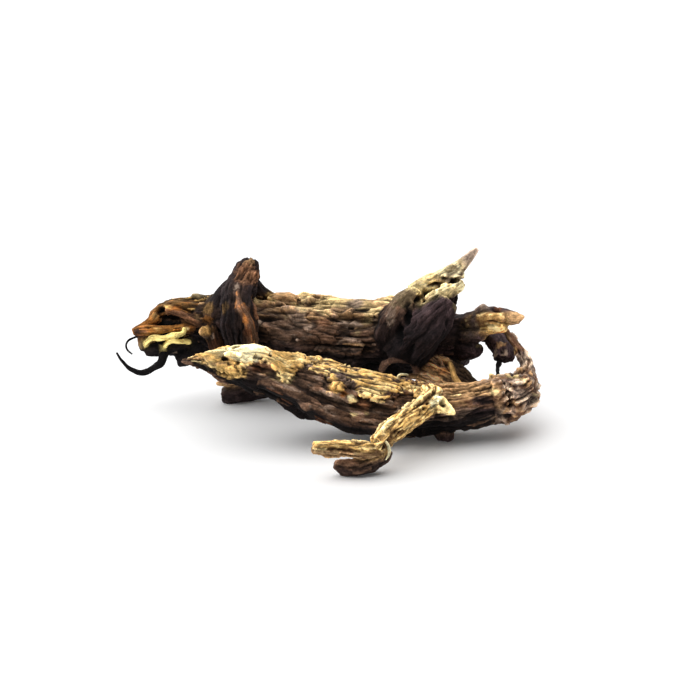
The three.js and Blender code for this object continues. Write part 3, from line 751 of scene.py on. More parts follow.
# %% Pits and lumps
PITS_AND_LUMPS = [
    # x, y, z, reach along X, Y and Z, height (negative for a pit)
    # front root
    (-26.0, -4.5, 28.3, 3.0, 3.5, 0.8, -1.8),
    (-29.5, -9.5, 26.2, 1.3, 2.0, 0.8, -0.8),
    (-25.7, -10.8, 25.1, 1.0, 2.0, 0.8, -0.8),
    (-18.6, -11.8, 24.6, 3.0, 2.5, 2.2, -0.9),
    (-17.7, -12.8, 22.6, 1.1, 1.1, 0.8, 0.7),
    (-8.3, -10.5, 24.6, 2.2, 2.0, 1.3, -0.8),
    (7.6, -13.8, 18.6, 2.4, 3.4, 1.5, -3.2),
    (2.6, -14.0, 18.4, 2.8, 2.6, 2.2, 1.1),
    (7.9, -14.3, 16.3, 1.8, 1.4, 0.9, 0.6),
    (8.0, -14.4, 15.0, 1.9, 1.4, 1.0, 0.8),
    (-6.6, -18.0, 14.1, 3.0, 2.4, 2.2, 0.9),
    (-2.6, -14.3, 18.6, 2.8, 1.6, 1.1, 0.8),
    (11.1, -14.2, 13.6, 2.6, 2.0, 2.0, 0.5),
    (1.2, -17.6, 14.2, 2.2, 1.8, 1.1, 0.5),
    # twig
    (29.5, -20.0, 16.3, 0.8, 1.6, 0.6, -1.6),
    (28.6, -21.5, 15.2, 0.9, 1.6, 0.7, -1.6),
    (33.8, -18.5, 15.7, 1.2, 1.8, 1.5, -2.2),
    (14.6, -32.0, 11.2, 0.8, 1.3, 0.7, -1.4),
    (33.0, -15.0, 18.2, 1.3, 3.0, 1.2, 0.7),
    # right part and bend
    (45.6, -12.7, 14.6, 4.0, 2.0, 2.0, -1.0),
    (46.8, -13.2, 10.8, 5.0, 2.0, 1.5, -0.9),
    (50.2, -11.3, 15.9, 1.8, 1.8, 1.6, 1.1),
    (50.8, -12.2, 13.4, 1.6, 1.6, 2.2, 0.9),
    (54.5, -10.3, 17.7, 2.6, 2.2, 1.1, -1.8),
    (54.7, -10.4, 10.6, 1.8, 1.6, 1.7, 0.9),
    (62.6, -3.8, 13.0, 1.2, 1.6, 1.3, 0.7),
    # main root
    (10.5, 23.7, 31.2, 3.5, 1.2, 0.5, -1.1),
    (7.4, 19.1, 27.2, 1.1, 1.2, 0.8, -1.7),
    (-1.2, 19.3, 28.0, 2.8, 2.5, 4.0, 0.8),
    (-5.5, 27.5, 33.6, 3.6, 4.0, 2.4, -0.8),
    (13.0, 27.5, 32.8, 7.0, 4.0, 2.4, 0.6),
    (7.0, 19.7, 28.2, 5.0, 2.0, 1.0, 0.8),
    (-1.8, 28.5, 33.5, 0.7, 0.9, 1.6, 1.2),
    (-9.2, 14.8, 24.4, 0.8, 0.8, 0.8, 0.6),
    # upright peg
    (-23.9, 22.0, 44.8, 1.6, 2.0, 0.8, -0.5),
    (-28.5, 13.5, 35.0, 1.6, 2.5, 5.0, -1.4),
    (-31.5, 14.0, 33.0, 1.4, 2.5, 5.0, -1.2),
    (-22.0, 17.0, 36.0, 1.6, 2.6, 4.5, -1.5),
    # crown
    (-51.3, 22.5, 31.2, 1.7, 2.0, 1.5, -2.0),
    (-47.5, 22.0, 29.2, 5.5, 3.0, 0.9, -1.3),
    (-47.5, 17.5, 24.9, 4.5, 3.0, 0.8, -1.4),
    (-43.3, 22.5, 29.0, 2.2, 2.0, 1.3, -1.0),
    # broken branch
    (24.6, 12.0, 33.0, 1.5, 3.0, 5.5, -2.2),
    (22.0, 11.0, 27.0, 1.4, 3.0, 4.5, -1.8),
    (28.4, 14.5, 37.3, 2.2, 3.0, 1.2, -1.8),
    (32.6, 17.0, 40.9, 3.0, 3.0, 1.0, -2.2),
    (37.5, 16.9, 42.8, 3.4, 3.0, 0.9, -2.2),
    (36.8, 7.5, 31.5, 1.2, 2.0, 2.5, -1.0),
    # rootlet cluster
    (52.0, 12.5, 34.6, 2.8, 2.6, 0.6, -1.6),
    (50.8, 9.0, 31.9, 3.4, 2.6, 0.45, -1.4),
    (53.5, 12.0, 21.2, 1.0, 1.6, 0.8, -1.1),
    (52.4, 12.5, 20.0, 0.9, 1.6, 0.9, -1.0),
]


def pits_and_lumps(points):
    """How much each point is pushed out, in mm."""
    push = np.zeros(len(points))
    for x, y, z, reach_x, reach_y, reach_z, height in PITS_AND_LUMPS:
        away = np.linalg.norm((points - (x, y, z)) / (reach_x, reach_y, reach_z), axis=1)
        push += height * (1 - ramp(away, 0.30, 1.10))
    return push


# %% [markdown]
# ## Strands and cracks
#
# The bark is also full of small things that run: raised strands, painted paler on a root's upper side as
# painted highlight and darker on its lower side as painted shade, and cracks painted black as painted shade.
# They are too many to place one by one, so a loop strews them along the grain. Each root says how many it
# has, how long they are and what colours they take. A fixed seed strews them in the same way on each run.

# %% Strands and cracks
STRANDS = {
    # root: how many, how long in mm, colour of a strand on the root's upper side (paler, painted highlight)
    # and on its lower side (darker, painted shade), colour of a crack (dark, painted shade)
    "trunk": (90, 9.0, "tan", "umber", "ink"),
    "front_root": (110, 7.0, "straw", "umber", "soot"),
    "front_rib": (24, 6.0, "umber", "rust", "ink"),
    "bend": (50, 5.0, "shell", "taupe", "soot"),
    "peg": (20, 9.0, "russet", "umber", "ink"),
    "twig": (40, 11.0, "straw", "gold", "rust"),
    "twig_left": (24, 10.0, "straw", "tan", "rust"),
    "twig_low": (10, 6.0, "tan", "umber", "ink"),
    "crown_upper": (14, 7.0, "gold", "rust", "ink"),
    "crown_middle": (10, 6.0, "amber", "rust", "ink"),
    "crown_lower": (10, 5.0, "tan", "umber", "ink"),
}
STRAND_SEED = 5
STRAND_WIDTH = 0.4
STRAND_HEIGHT = 0.45
STRAND_STRENGTH = 0.7
STRAND_EDGE = (0.40, 1.35)
SHORTEST_HALF = 0.2
HALF_SPREAD = 0.3
CRACK_SHARE = 0.5


def strands_along(bark, ragged):
    """Strands and cracks strewn along the grain: for each its points, its cover, height and colour."""
    strewn = np.random.default_rng(STRAND_SEED)
    angle = np.arctan2(bark.across[:, 1], bark.across[:, 0])
    for name, (count, length, upper, lower, crack) in STRANDS.items():
        root = roots[ROOTS.index(name)]
        on_root = np.flatnonzero(bark.root == root.number)
        for start, turn, size, luck in strewn.random((count, 4)):
            half = length * (SHORTEST_HALF + HALF_SPREAD * size)
            beyond = (bark.along[on_root] - start * root.length) / half
            turned = (angle[on_root] - 2 * math.pi * turn + math.pi) % (2 * math.pi) - math.pi
            beside = np.abs(turned) * bark.radius[on_root]
            near = (np.abs(beyond) < 1) & (beside < 4 * STRAND_WIDTH)
            close = on_root[near]
            if len(close) == 0:
                continue
            width = STRAND_WIDTH * (0.6 + size) * np.sqrt(1 - beyond[near] ** 2)
            cover = 1 - ramp(beside[near] / np.maximum(width, 0.05) + 0.5 * ragged[close], *STRAND_EDGE)
            # a strand above takes the paler colour as painted highlight and one below the darker colour as
            # painted shade; a crack's dark colour is painted shade
            raised = upper if bark.up[close].mean() > 0 else lower
            height, colour = (-STRAND_HEIGHT, crack) if luck < CRACK_SHARE else (STRAND_HEIGHT, raised)
            yield close, cover, height, colour


# %% [markdown]
# ## Carving the bark
#
# All layers add up to one height in millimetres and every point moves that far out along its
# normal. Creases between roots stay quiet, and thin rootlets get shallower bark than thick ones.

# %% Carve
FINE_SKIN_LIMIT = 198000
WAVE_HEIGHT = 0.8
WARP = 0.28
QUIET_SIZE = 7.0
LAYER_THICKNESS = 0.7
THICK_ROOT = 5.0
WORN_TIP = (-23.0, -8.0, 27.5)
WORN_REACH = (11.0, 7.0, 4.2)


class Relief:
    """The bark's height in mm at each point, and the patterns that its colours follow."""

    def __init__(self, bark):
        self.layer = pale_layer(bark)
        self.rough = soft_noise(bark.points / 1.3)
        self.ragged = 0.6 * self.rough + 0.7 * soft_noise(bark.points / 0.65 + 6.1)
        self.height = self.bark_height(bark)
        self.height += LAYER_THICKNESS * (self.layer - 0.4) * bark.on("front_root", "front_rib")
        self.height += pits_and_lumps(bark.points)
        self.strands = []
        for close, cover, height, colour in strands_along(bark, self.ragged):
            self.height[close] += height * cover
            self.strands.append((close, STRAND_STRENGTH * cover, colour))

    def bark_height(self, bark):
        """Furrows, plates, waves and fibres of each root's bark, calmer on the pale layer and where worn."""
        furrow, apart, long, plate, plate_wide, plate_long, fibre = KIND_TABLE[bark.root].T
        worn = 1 - ramp(np.linalg.norm((bark.points - WORN_TIP) / WORN_REACH, axis=1), 0.6, 1.0)
        furrow = furrow * (1 - 0.45 * self.layer) * (1 - 0.55 * worn)
        plate = plate * (1 - 0.5 * self.layer) * (1 - 0.9 * worn)
        warp = WARP * np.column_stack([soft_noise(bark.points / 5.0 + shift) for shift in (0.3, 21.7, 43.1)])
        rough = 0.25 + 0.75 * ramp(soft_noise(bark.points / QUIET_SIZE + 3.7), -0.35, 0.25)
        self.ridges = creased(bark.straight(long, apart) + warp)
        small_ridges = creased(bark.straight(long * 0.5, apart * 0.45) + 5.1 + warp)
        tiny_ridges = creased(bark.straight(long * 0.25, apart * 0.25) + 8.3)
        inside, self.number, lean = plates(bark.straight(plate_long, plate_wide) + 1.8 * warp)
        scales = ramp(inside, 0.0, 0.12)
        step = (0.55 + 0.45 * scales) * (0.25 + 0.75 * self.number + 0.8 * lean)
        fibres = soft_noise(bark.straight(5.0, 0.6))
        waves = soft_noise(bark.straight(12.0, 5.0) + 3.3)
        strength = np.clip(bark.radius / THICK_ROOT, 0.12, 1) * (0.4 + 0.6 * bark.lone)
        height = furrow * (0.45 + 0.55 * rough) * (self.ridges - 0.6)
        height += furrow * rough * (0.45 * (small_ridges - 0.5) + 0.22 * (tiny_ridges - 0.5))
        height = strength * (height + rough * plate * (step - 0.5) + WAVE_HEIGHT * waves)
        return height + fibre * np.minimum(1, bark.radius / 2) * fibres


def store(mesh, name, kind, values):
    """Keep one value for each point of a mesh under a name that the material can ask for."""
    attribute = mesh.attributes.new(name, kind, "POINT")
    field = {"FLOAT": "value", "FLOAT_VECTOR": "vector", "FLOAT_COLOR": "color"}[kind]
    attribute.data.foreach_set(field, np.ascontiguousarray(values, np.float32).ravel())


def carve(mesh):
    """Push every point out by the bark's height, and keep it above the table."""
    bark = Bark(points_of(mesh))
    height = Relief(bark).height
    places = bark.points + normals_of(mesh) * height[:, None]
    places[:, 2] = np.maximum(places[:, 2], 0)
    place_points(mesh, places)
    store(mesh, "uncarved", "FLOAT_VECTOR", bark.points)
    print("bark stands", round(float(height.min()), 1), "to", round(float(height.max()), 1), "mm")


def thinned(mesh, limit):
    """The same mesh with flat places joined into bigger triangles, under a limit of triangles."""
    dense = new_object("dense", mesh)
    thin = dense.modifiers.new("thin", "DECIMATE")
    thin.ratio = min(1.0, limit / (2 * len(mesh.polygons)))
    return applied(dense, "skin")


carve(skin_mesh)
skin_mesh = thinned(skin_mesh, FINE_SKIN_LIMIT)
print("carved skin:", sum(len(face.vertices) - 2 for face in skin_mesh.polygons), "triangles")

# %% [markdown]
# ## Painting by place
#
# Each root has its own colour. Patches then change it where light, wear or a break has: the paler top of the
# main root is painted highlight, the torn tip is bare, and the black in the hollows is painted shade. The
# colours are stored on the points of the skin, and the material turns them into bark.

# %% Patches of colour
PATCHES = [
    # x, y, z, reach along X, Y and Z, colour, strength
    # front root: torn tip
    (-24.0, -7.0, 28.2, 9.5, 5.0, 3.2, "cream", 0.95),
    (-23.0, -10.0, 26.7, 4.5, 3.0, 1.8, "cream", 1.0),
    (-36.5, -8.0, 26.0, 3.4, 3.0, 0.9, "tan", 0.7),
    (-31.1, -9.1, 27.0, 1.5, 1.6, 0.9, "moss", 0.8),
    (-29.3, -9.5, 26.2, 1.4, 1.8, 0.8, "rust", 0.9),
    (-31.0, -9.0, 24.8, 4.5, 2.5, 0.9, "umber", 0.8),
    (-25.7, -10.8, 25.1, 1.2, 1.5, 0.7, "rust", 0.9),
    (-27.5, -11.5, 22.8, 5.5, 3.0, 2.2, "gold", 0.7),
    (-26.0, -4.5, 28.0, 2.6, 3.0, 0.8, "rust", 1.0),
    # front root: worn patch, lobe and ridge
    (-18.8, -11.5, 24.4, 3.4, 2.8, 1.7, "russet", 0.9),
    (-20.0, -11.2, 23.9, 2.0, 2.0, 1.1, "rust", 0.85),
    (-17.7, -12.8, 22.6, 1.3, 1.3, 0.8, "tan", 0.9),
    (-12.0, -12.8, 22.3, 4.2, 2.5, 2.4, "straw", 0.95),
    (-11.9, -12.2, 23.0, 0.8, 1.2, 0.6, "umber", 0.9),
    (-8.3, -10.3, 24.8, 2.4, 2.2, 1.6, "russet", 0.9),
    (-3.5, -7.0, 25.0, 1.8, 2.0, 1.6, "cream", 0.7),
    (2.9, -14.0, 18.7, 3.0, 2.5, 2.0, "gold", 0.9),
    (5.2, -14.6, 16.9, 1.6, 1.6, 1.2, "amber", 0.9),
    # black in the deep pit: painted shade
    (7.6, -13.8, 18.6, 2.2, 3.0, 1.4, "ink", 1.0),
    (7.0, -14.4, 16.2, 1.6, 1.4, 0.8, "cream", 0.8),
    (7.9, -14.4, 15.1, 1.8, 1.4, 0.9, "straw", 0.9),
    (13.4, -12.9, 17.5, 4.5, 2.6, 1.6, "straw", 0.8),
    (5.0, -9.5, 21.2, 4.0, 2.0, 0.8, "plum", 0.7),
    (15.5, -8.5, 18.6, 5.0, 2.0, 0.8, "gold", 0.6),
    (25.5, -9.0, 17.3, 1.6, 2.5, 1.0, "plum", 0.8),
    # front root: lower side
    (11.1, -14.2, 13.6, 2.6, 2.2, 2.0, "russet", 0.9),
    (8.0, -17.4, 11.9, 0.7, 0.8, 0.5, "straw", 0.7),
    (11.7, -15.7, 11.7, 0.7, 0.8, 0.5, "straw", 0.7),
    (1.2, -17.6, 14.2, 1.9, 1.6, 0.9, "taupe", 0.3),
    (-6.6, -18.0, 14.1, 2.8, 2.2, 1.8, "umber", 0.7),
    (-4.3, -18.1, 14.6, 0.6, 0.7, 0.5, "taupe", 0.8),
    (-2.6, -14.3, 18.6, 2.5, 1.6, 1.0, "russet", 0.7),
    (0.9, -18.3, 10.0, 0.8, 0.8, 0.4, "taupe", 0.9),
    (-15.6, -14.0, 16.6, 0.7, 0.8, 0.4, "taupe", 0.6),
    # twig
    (31.0, -19.0, 15.8, 1.4, 2.0, 1.5, "cream", 1.0),
    (32.4, -17.5, 17.0, 1.5, 2.0, 1.5, "cream", 1.0),
    (33.8, -14.0, 17.2, 1.2, 2.6, 1.4, "cream", 0.9),
    # black in the worm holes: painted shade
    (29.5, -20.0, 16.3, 0.7, 1.2, 0.6, "ink", 1.0),
    (28.6, -21.5, 15.2, 0.8, 1.2, 0.7, "ink", 1.0),
    (33.8, -18.6, 15.6, 1.1, 1.6, 1.3, "ink", 1.0),
    (14.6, -32.0, 11.2, 0.7, 1.0, 0.7, "ink", 1.0),
    # right part and bend
    (45.6, -12.7, 14.6, 4.0, 2.2, 1.9, "plum", 0.9),
    (46.8, -13.2, 10.9, 5.5, 2.2, 1.6, "plum", 0.7),
    (49.4, -11.2, 16.6, 1.6, 1.6, 1.2, "straw", 0.6),
    (50.8, -12.2, 13.5, 1.8, 1.6, 2.4, "tan", 0.25),
    (54.5, -10.3, 17.7, 2.2, 1.6, 0.9, "russet", 0.8),
    (54.7, -10.4, 10.6, 1.8, 1.6, 1.6, "taupe", 0.5),
    (55.8, -2.4, 19.2, 3.0, 3.0, 1.4, "straw", 0.7),
    (58.8, -5.4, 18.3, 2.0, 2.0, 1.4, "straw", 0.7),
    (62.7, -3.8, 13.0, 1.2, 1.6, 1.2, "moss", 0.9),
    # main root
    # gold, tan, straw and taupe along the top: painted highlight
    (-18.0, 28.0, 34.2, 2.4, 4.0, 1.6, "gold", 0.9),
    (-13.9, 27.0, 33.0, 3.5, 3.0, 1.4, "tan", 0.9),
    (1.7, 26.9, 33.0, 3.0, 3.5, 1.3, "straw", 0.8),
    (8.6, 25.8, 32.4, 3.6, 3.0, 1.4, "taupe", 0.9),
    (17.6, 26.9, 32.8, 2.6, 3.0, 1.2, "straw", 0.7),
    # black in a pit: painted shade
    (10.5, 23.7, 31.2, 3.5, 1.6, 0.5, "ink", 0.9),
    (-1.2, 19.3, 28.0, 2.6, 2.6, 4.0, "russet", 0.7),
    (7.0, 19.8, 28.0, 4.5, 2.0, 1.0, "taupe", 0.8),
    # black in a pit: painted shade
    (7.4, 19.1, 27.0, 0.9, 1.2, 0.7, "ink", 1.0),
    (-9.2, 14.8, 24.4, 0.7, 0.9, 0.7, "taupe", 0.8),
    (-20.7, 16.6, 29.6, 1.6, 1.6, 0.7, "taupe", 0.9),
    (20.0, 12.8, 16.8, 1.0, 1.2, 0.7, "gold", 0.9),
    (36.0, 12.5, 15.2, 3.0, 3.0, 1.4, "amber", 0.6),
    # upright peg
    # tan on the head: painted highlight
    (-24.1, 23.7, 46.3, 2.4, 3.4, 1.6, "tan", 0.6),
    (-23.7, 21.0, 43.8, 1.4, 2.4, 1.4, "tan", 0.6),
    (-25.5, 19.5, 42.2, 1.6, 2.4, 1.2, "tan", 0.6),
    (-24.8, 21.5, 43.5, 5.0, 6.0, 4.8, "russet", 0.9),
    (-24.5, 9.1, 32.4, 1.1, 1.6, 2.0, "amber", 0.7),
    (-27.6, 17.3, 40.6, 1.0, 1.6, 1.0, "taupe", 0.8),
    (-23.9, 8.9, 28.6, 1.4, 1.6, 2.4, "rust", 0.9),
    (-30.9, 12.1, 35.6, 1.4, 2.0, 3.0, "olive", 0.5),
    # crown
    (-47.5, 22.9, 32.0, 3.2, 2.6, 0.9, "amber", 0.8),
    (-49.5, 23.0, 32.4, 1.6, 2.0, 0.7, "gold", 0.9),
    # black in the hole: painted shade
    (-51.3, 22.6, 31.3, 1.5, 2.0, 1.3, "ink", 1.0),
    (-53.3, 19.8, 30.5, 1.5, 2.5, 1.9, "olive", 1.0),
    (-39.8, 20.5, 29.8, 1.6, 2.6, 1.4, "tan", 0.5),
    (-43.6, 23.1, 31.0, 2.2, 2.2, 1.0, "copper", 0.7),
    (-36.6, 21.0, 32.0, 2.6, 3.0, 3.0, "olive", 0.75),
    (-37.3, 18.8, 29.4, 2.2, 2.6, 2.0, "copper", 0.6),
    (-47.5, 22.5, 28.9, 5.0, 3.0, 1.0, "umber", 0.8),
    (-52.2, 15.9, 27.3, 1.5, 1.6, 0.9, "gold", 1.0),
    (-56.6, 15.8, 26.8, 2.2, 2.2, 1.6, "russet", 0.9),
    (-58.3, 16.5, 26.6, 1.8, 2.4, 1.8, "soot", 0.85),
    (-43.5, 17.9, 26.6, 2.2, 2.0, 0.7, "straw", 0.8),
    # black in the hollow under the fibres: painted shade
    (-46.5, 17.0, 25.0, 4.5, 3.0, 0.7, "ink", 1.0),
    (-57.2, 16.9, 21.9, 1.2, 1.6, 1.4, "moss", 0.8),
    (-39.2, 12.8, 27.6, 1.4, 1.6, 1.0, "tan", 0.6),
    (-35.3, 15.3, 25.2, 0.8, 1.4, 1.2, "taupe", 0.7),
    (-46.9, 18.7, 19.1, 0.8, 1.2, 0.8, "taupe", 0.8),
    # broken branch
    (19.5, 12.2, 32.5, 1.6, 3.0, 3.5, "taupe", 0.5),
    # black in the cleft: painted shade
    (24.8, 12.2, 33.2, 1.4, 3.0, 5.5, "ink", 1.0),
    (22.3, 11.0, 27.0, 1.4, 3.0, 4.5, "ink", 0.9),
    (28.4, 14.5, 37.3, 2.2, 3.0, 1.0, "ink", 0.9),
    (32.6, 17.0, 40.9, 3.2, 3.0, 1.1, "plum", 0.9),
    (37.5, 16.9, 42.8, 3.4, 3.0, 0.9, "plum", 0.9),
    (36.0, 12.5, 39.4, 2.6, 2.4, 1.6, "straw", 0.7),
    (27.0, 18.0, 39.4, 3.8, 3.0, 1.7, "straw", 0.8),
    (34.5, 19.0, 44.6, 2.4, 2.4, 1.0, "cream", 0.6),
    (37.5, 19.4, 46.3, 2.0, 2.4, 1.0, "moss", 0.6),
    (41.2, 15.6, 40.4, 1.2, 2.0, 1.4, "cream", 0.7),
    (38.7, 11.3, 36.2, 1.2, 2.0, 1.8, "moss", 0.6),
    # rootlet cluster
    (51.8, 12.6, 34.9, 2.6, 2.6, 0.7, "rust", 0.9),
    # black in the groove: painted shade
    (50.8, 9.2, 31.9, 3.0, 2.4, 0.35, "ink", 0.9),
    (50.8, 9.0, 29.9, 3.2, 2.6, 1.4, "straw", 1.0),
    (52.4, 7.9, 28.4, 2.0, 2.0, 0.6, "amber", 0.9),
    (51.5, 8.5, 33.9, 3.0, 2.4, 1.2, "ochre", 0.7),
    (57.0, 6.5, 34.2, 4.2, 4.0, 3.0, "tan", 0.9),
    (45.0, 14.8, 29.0, 2.6, 3.5, 3.5, "plum", 0.7),
    (44.5, 15.5, 28.0, 4.5, 4.0, 4.5, "taupe", 0.15),
    (47.8, 12.5, 27.1, 1.5, 1.8, 1.0, "tan", 0.9),
    (46.8, 13.0, 22.8, 1.7, 2.0, 0.9, "moss", 1.0),
    (52.8, 12.9, 23.2, 2.2, 2.0, 1.1, "tan", 0.8),
    (54.3, 11.6, 21.0, 1.2, 1.8, 1.0, "taupe", 0.8),
    (51.3, 12.5, 20.5, 1.0, 1.8, 1.6, "taupe", 0.6),
    # black under the knob: painted shade
    (52.5, 12.0, 18.0, 2.4, 3.0, 1.2, "ink", 0.9),
    (58.0, 17.0, 20.6, 1.4, 4.0, 2.2, "gold", 0.7),
]
PATCH_SOFTNESS = 0.5


def patch(points, place, reach, ragged):
    """1 in a patch and 0 outside it. The edge is ragged, and most of all in a small patch."""
    away = np.linalg.norm((points - place) / reach, axis=1)
    return ramp(1 - away + (0.25 + 0.45 / np.mean(reach)) * ragged, 0, PATCH_SOFTNESS)


# %% [markdown]
# ## A brush, and each part's paint
#
# The brush lays a colour over a mask of points, or makes them darker or lighter. Each part then has
# its own few strokes: which colour, and where on the part. `bark.up` is 1 on top of a root and -1
# below it, x and z are millimetres, and noise keeps every edge from running straight.

# %% The brush
COLOUR_BLEED = 0.5


class Paint:
    """The colour of every point, a brush for it, and the noise that the brush follows."""

    def __init__(self, bark, relief):
        beyond = bark.gaps - bark.gaps.min(axis=1, keepdims=True)
        weights = np.exp(-np.clip(beyond, 0, 20) / COLOUR_BLEED)
        self.colours = weights @ ROOT_PAINTS / weights.sum(axis=1, keepdims=True)
        self.bark = bark
        self.relief = relief
        self.on = bark.on
        self.up = bark.up
        self.x = bark.points[:, 0]
        self.z = bark.points[:, 2]
        self.rough = relief.rough
        self.slow = soft_noise(bark.points / 5.0 + 9.1)
        self.fine = soft_noise(bark.straight(2.5, 0.8) + 2.2)
        self.streaks = soft_noise(bark.straight(9.0, 1.8) + 4.4)

    def blend(self, mask, name, strength=1.0):
        """Lay a colour over the points of a mask."""
        amount = np.clip(mask * strength, 0, 1)[:, None]
        self.colours = self.colours * (1 - amount) + PAINTS[name] * amount

    def shade(self, factor):
        """Make points darker where the factor is below 1 and lighter where it is above."""
        self.colours *= factor[:, None]


# %% Main root, its feet and its peg
def paint_loose_plates(paint):
    """Loose plates differ from each other a little, and now and then one is worn to bare wood."""
    rough, streaks, number = paint.rough, paint.streaks, paint.relief.number
    broken = paint.on("trunk", "front_root", "front_rib", "bend", "bend_knob", "foot_back", "low_rootlet")
    paint.shade(1 + broken * (0.8 * (number - 0.5)))
    paint.blend(broken * ramp(number, 0.80, 0.86), "taupe", 0.55)
    paint.blend(broken * ramp(streaks + 0.5 * rough, 0.30, 0.55), "taupe", 0.5)
    paint.blend(broken * ramp(-streaks + 0.5 * rough, 0.35, 0.6), "soot", 0.5)


def paint_main_root(paint):
    """Paler on top as painted highlight, black below as painted shade, black at the left end and purplish
    towards the broken branch.
    """
    up, x, rough = paint.up, paint.x, paint.rough
    trunk = paint.on("trunk", "foot_back")
    # tan and straw on the upper side: painted highlight
    paint.blend(trunk * ramp(up + 0.35 * rough, 0.62, 0.95), "tan", 0.7)
    paint.blend(trunk * ramp(up + 0.6 * paint.slow, 0.80, 1.05), "straw", 0.5)
    paint.blend(trunk * ramp(-x, 27, 31), "soot", 0.9)
    # soot and ink on the lower side: painted shade
    paint.blend(trunk * ramp(-up + 0.25 * paint.streaks, -0.40, 0.15), "soot", 0.9)
    paint.blend(trunk * ramp(-up + 0.15 * rough, -0.05, 0.35), "ink", 0.7)
    paint.blend(trunk * ramp(x, 10, 22) * ramp(-up, -0.9, -0.1), "plum", 0.6)


def paint_low_rootlet_and_peg(paint):
    """The low rootlet fades to black at its right end, and the peg is black below its paler head."""
    low_rootlet = paint.on("low_rootlet")
    paint.blend(low_rootlet * ramp(paint.x + 2 * paint.rough, 35, 39), "ink", 0.95)
    paint.shade(1 + 0.9 * low_rootlet)
    peg = paint.on("peg", "peg_flare_left", "peg_flare_right")
    paint.blend(peg * ramp(-paint.z + 2 * paint.rough, -42, -37), "ink", 0.5)


# %% Front root and bend
def bend_share(paint):
    """A mask of the front root with the bend, and one of the bend alone, with a ragged start."""
    along = paint.on("front_root", "front_rib", "bend", "bend_knob")
    return along, along * ramp(paint.x + 3.0 * paint.rough + 6.0 * paint.slow, 46, 55)


def paint_front_root(paint):
    """Dark on its lower side as painted shade, and reddish with a paler top towards the bend as painted
    highlight.
    """
    up, x, rough = paint.up, paint.x, paint.rough
    along, bend = bend_share(paint)
    front = along * (1 - bend)
    paint.blend(front * ramp(x, 22, 32) * ramp(up, -0.1, 0.5), "russet", 0.6)
    # tan on the upper side towards the bend: painted highlight
    paint.blend(front * ramp(x, 28, 36) * ramp(up + 0.4 * rough, 0.35, 0.7), "tan", 0.9)
    # soot and ink on the lower side: painted shade
    paint.blend(front * ramp(-up + 0.2 * rough, -0.35, 0.15), "soot", 0.8)
    paint.blend(front * ramp(-up + 0.1 * rough, -0.05, 0.3), "ink", 0.85)


def paint_bend(paint):
    """Pale on the crests of its scales, partly worn wood and partly painted highlight, and purplish between
    them.
    """
    z, rough, slow = paint.z, paint.rough, paint.slow
    bend = bend_share(paint)[1]
    # crests take tan and shell: partly worn wood, partly painted highlight
    crests = ramp(paint.relief.ridges + 0.3 * rough, 0.45, 0.75)
    paint.blend(bend * ramp(z + 2 * rough, 5, 12), "russet", 0.7)
    paint.blend(bend * ramp(z + 2 * rough, 5, 12) * crests, "tan", 0.8)
    paint.blend(bend * ramp(z + 2 * rough, 3, 9) * ramp(slow + paint.streaks, 0.0, 0.4), "taupe", 0.75)
    paint.blend(bend * ramp(z, 6, 12) * crests * ramp(paint.relief.number, 0.45, 0.70), "shell", 0.7)
    paint.blend(bend * ramp(-rough + 0.3 * slow, 0.28, 0.5), "plum", 0.75)


def paint_pale_layer(paint):
    """The torn pale layer: whole at the tip, and split into strands further right."""
    rough, slow, layer = paint.rough, paint.slow, paint.relief.layer
    split = ramp(paint.x, -9, -3)
    cover = layer * (1 - split * (1 - ramp(paint.relief.ridges + 0.25 * rough, 0.30, 0.50)))
    paint.blend(layer * split, "plum", 0.6)
    paint.blend(cover, "gold")
    paint.blend(cover * ramp(slow + 0.5 * rough, 0.05, 0.4), "straw", 0.65)
    paint.blend(cover * ramp(-slow + 0.5 * rough, 0.20, 0.50), "ochre", 0.75)


def shade_front_root(paint):
    """The underside of the front root is painted darker as painted shade, layer and all, and its foot goes
    lighter.
    """
    along, bend = bend_share(paint)
    # painted shade on the underside
    paint.shade(1 - 0.42 * along * (1 - bend) * ramp(-paint.up, -0.3, 0.2))
    paint.shade(1 + 0.4 * paint.on("foot_front"))


# %% Twig and other bare wood
def paint_bare_wood(paint):
    """Wood that shows its grain: pale and reddish streaks, and rust-brown in the creases as painted shade.
    """
    fine, rough = paint.fine, paint.rough
    bare = paint.on("twig", "twig_left", "twig_horn", "rootlet_upper", "rootlet_lower", "pale_strand")
    paint.blend(bare * ramp(fine, 0.1, 0.5), "straw", 0.7)
    paint.blend(bare * ramp(-fine, 0.15, 0.5), "russet", 0.6)
    # rust-brown in the creases: painted shade
    paint.blend(bare * ramp(-paint.relief.ridges - 0.2 * rough, -0.35, -0.10), "rust", 0.7)


def paint_twig(paint):
    """Each arm of the twig is painted darker below, as painted shade."""
    up, rough = paint.up, paint.rough
    # plum, umber and soot on the lower sides: painted shade
    paint.blend(paint.on("twig") * ramp(-up, 0.1, 0.7), "plum", 0.6)
    paint.blend(paint.on("twig_left") * ramp(-up + 0.3 * rough, -0.35, 0.2), "umber", 0.8)
    paint.blend(paint.on("twig_low") * ramp(-up + 0.5 * rough, -0.6, 0.0), "soot", 0.8)


# %% Broken branch
def paint_lobes(paint):
    """The lobes at the foot of the branch: black low down, with a green-brown head on the left one."""
    z, rough = paint.z, paint.rough
    low = paint.on("branch_right_lobe", "branch_core", "branch_left_lobe")
    lobes = paint.on("branch_right_lobe", "branch_left_lobe")
    left = paint.on("branch_left_lobe")
    paint.blend(low * ramp(-z + 2 * rough, -36, -28), "ink", 0.88)
    paint.blend(lobes * ramp(paint.slow + 0.5 * paint.streaks, -0.1, 0.5), "soot", 0.6)
    paint.blend(left * ramp(z + 3 * rough, 34, 38), "moss", 0.7)
    paint.blend(left * ramp(-z + 3 * rough, -35, -30), "soot", 0.6)


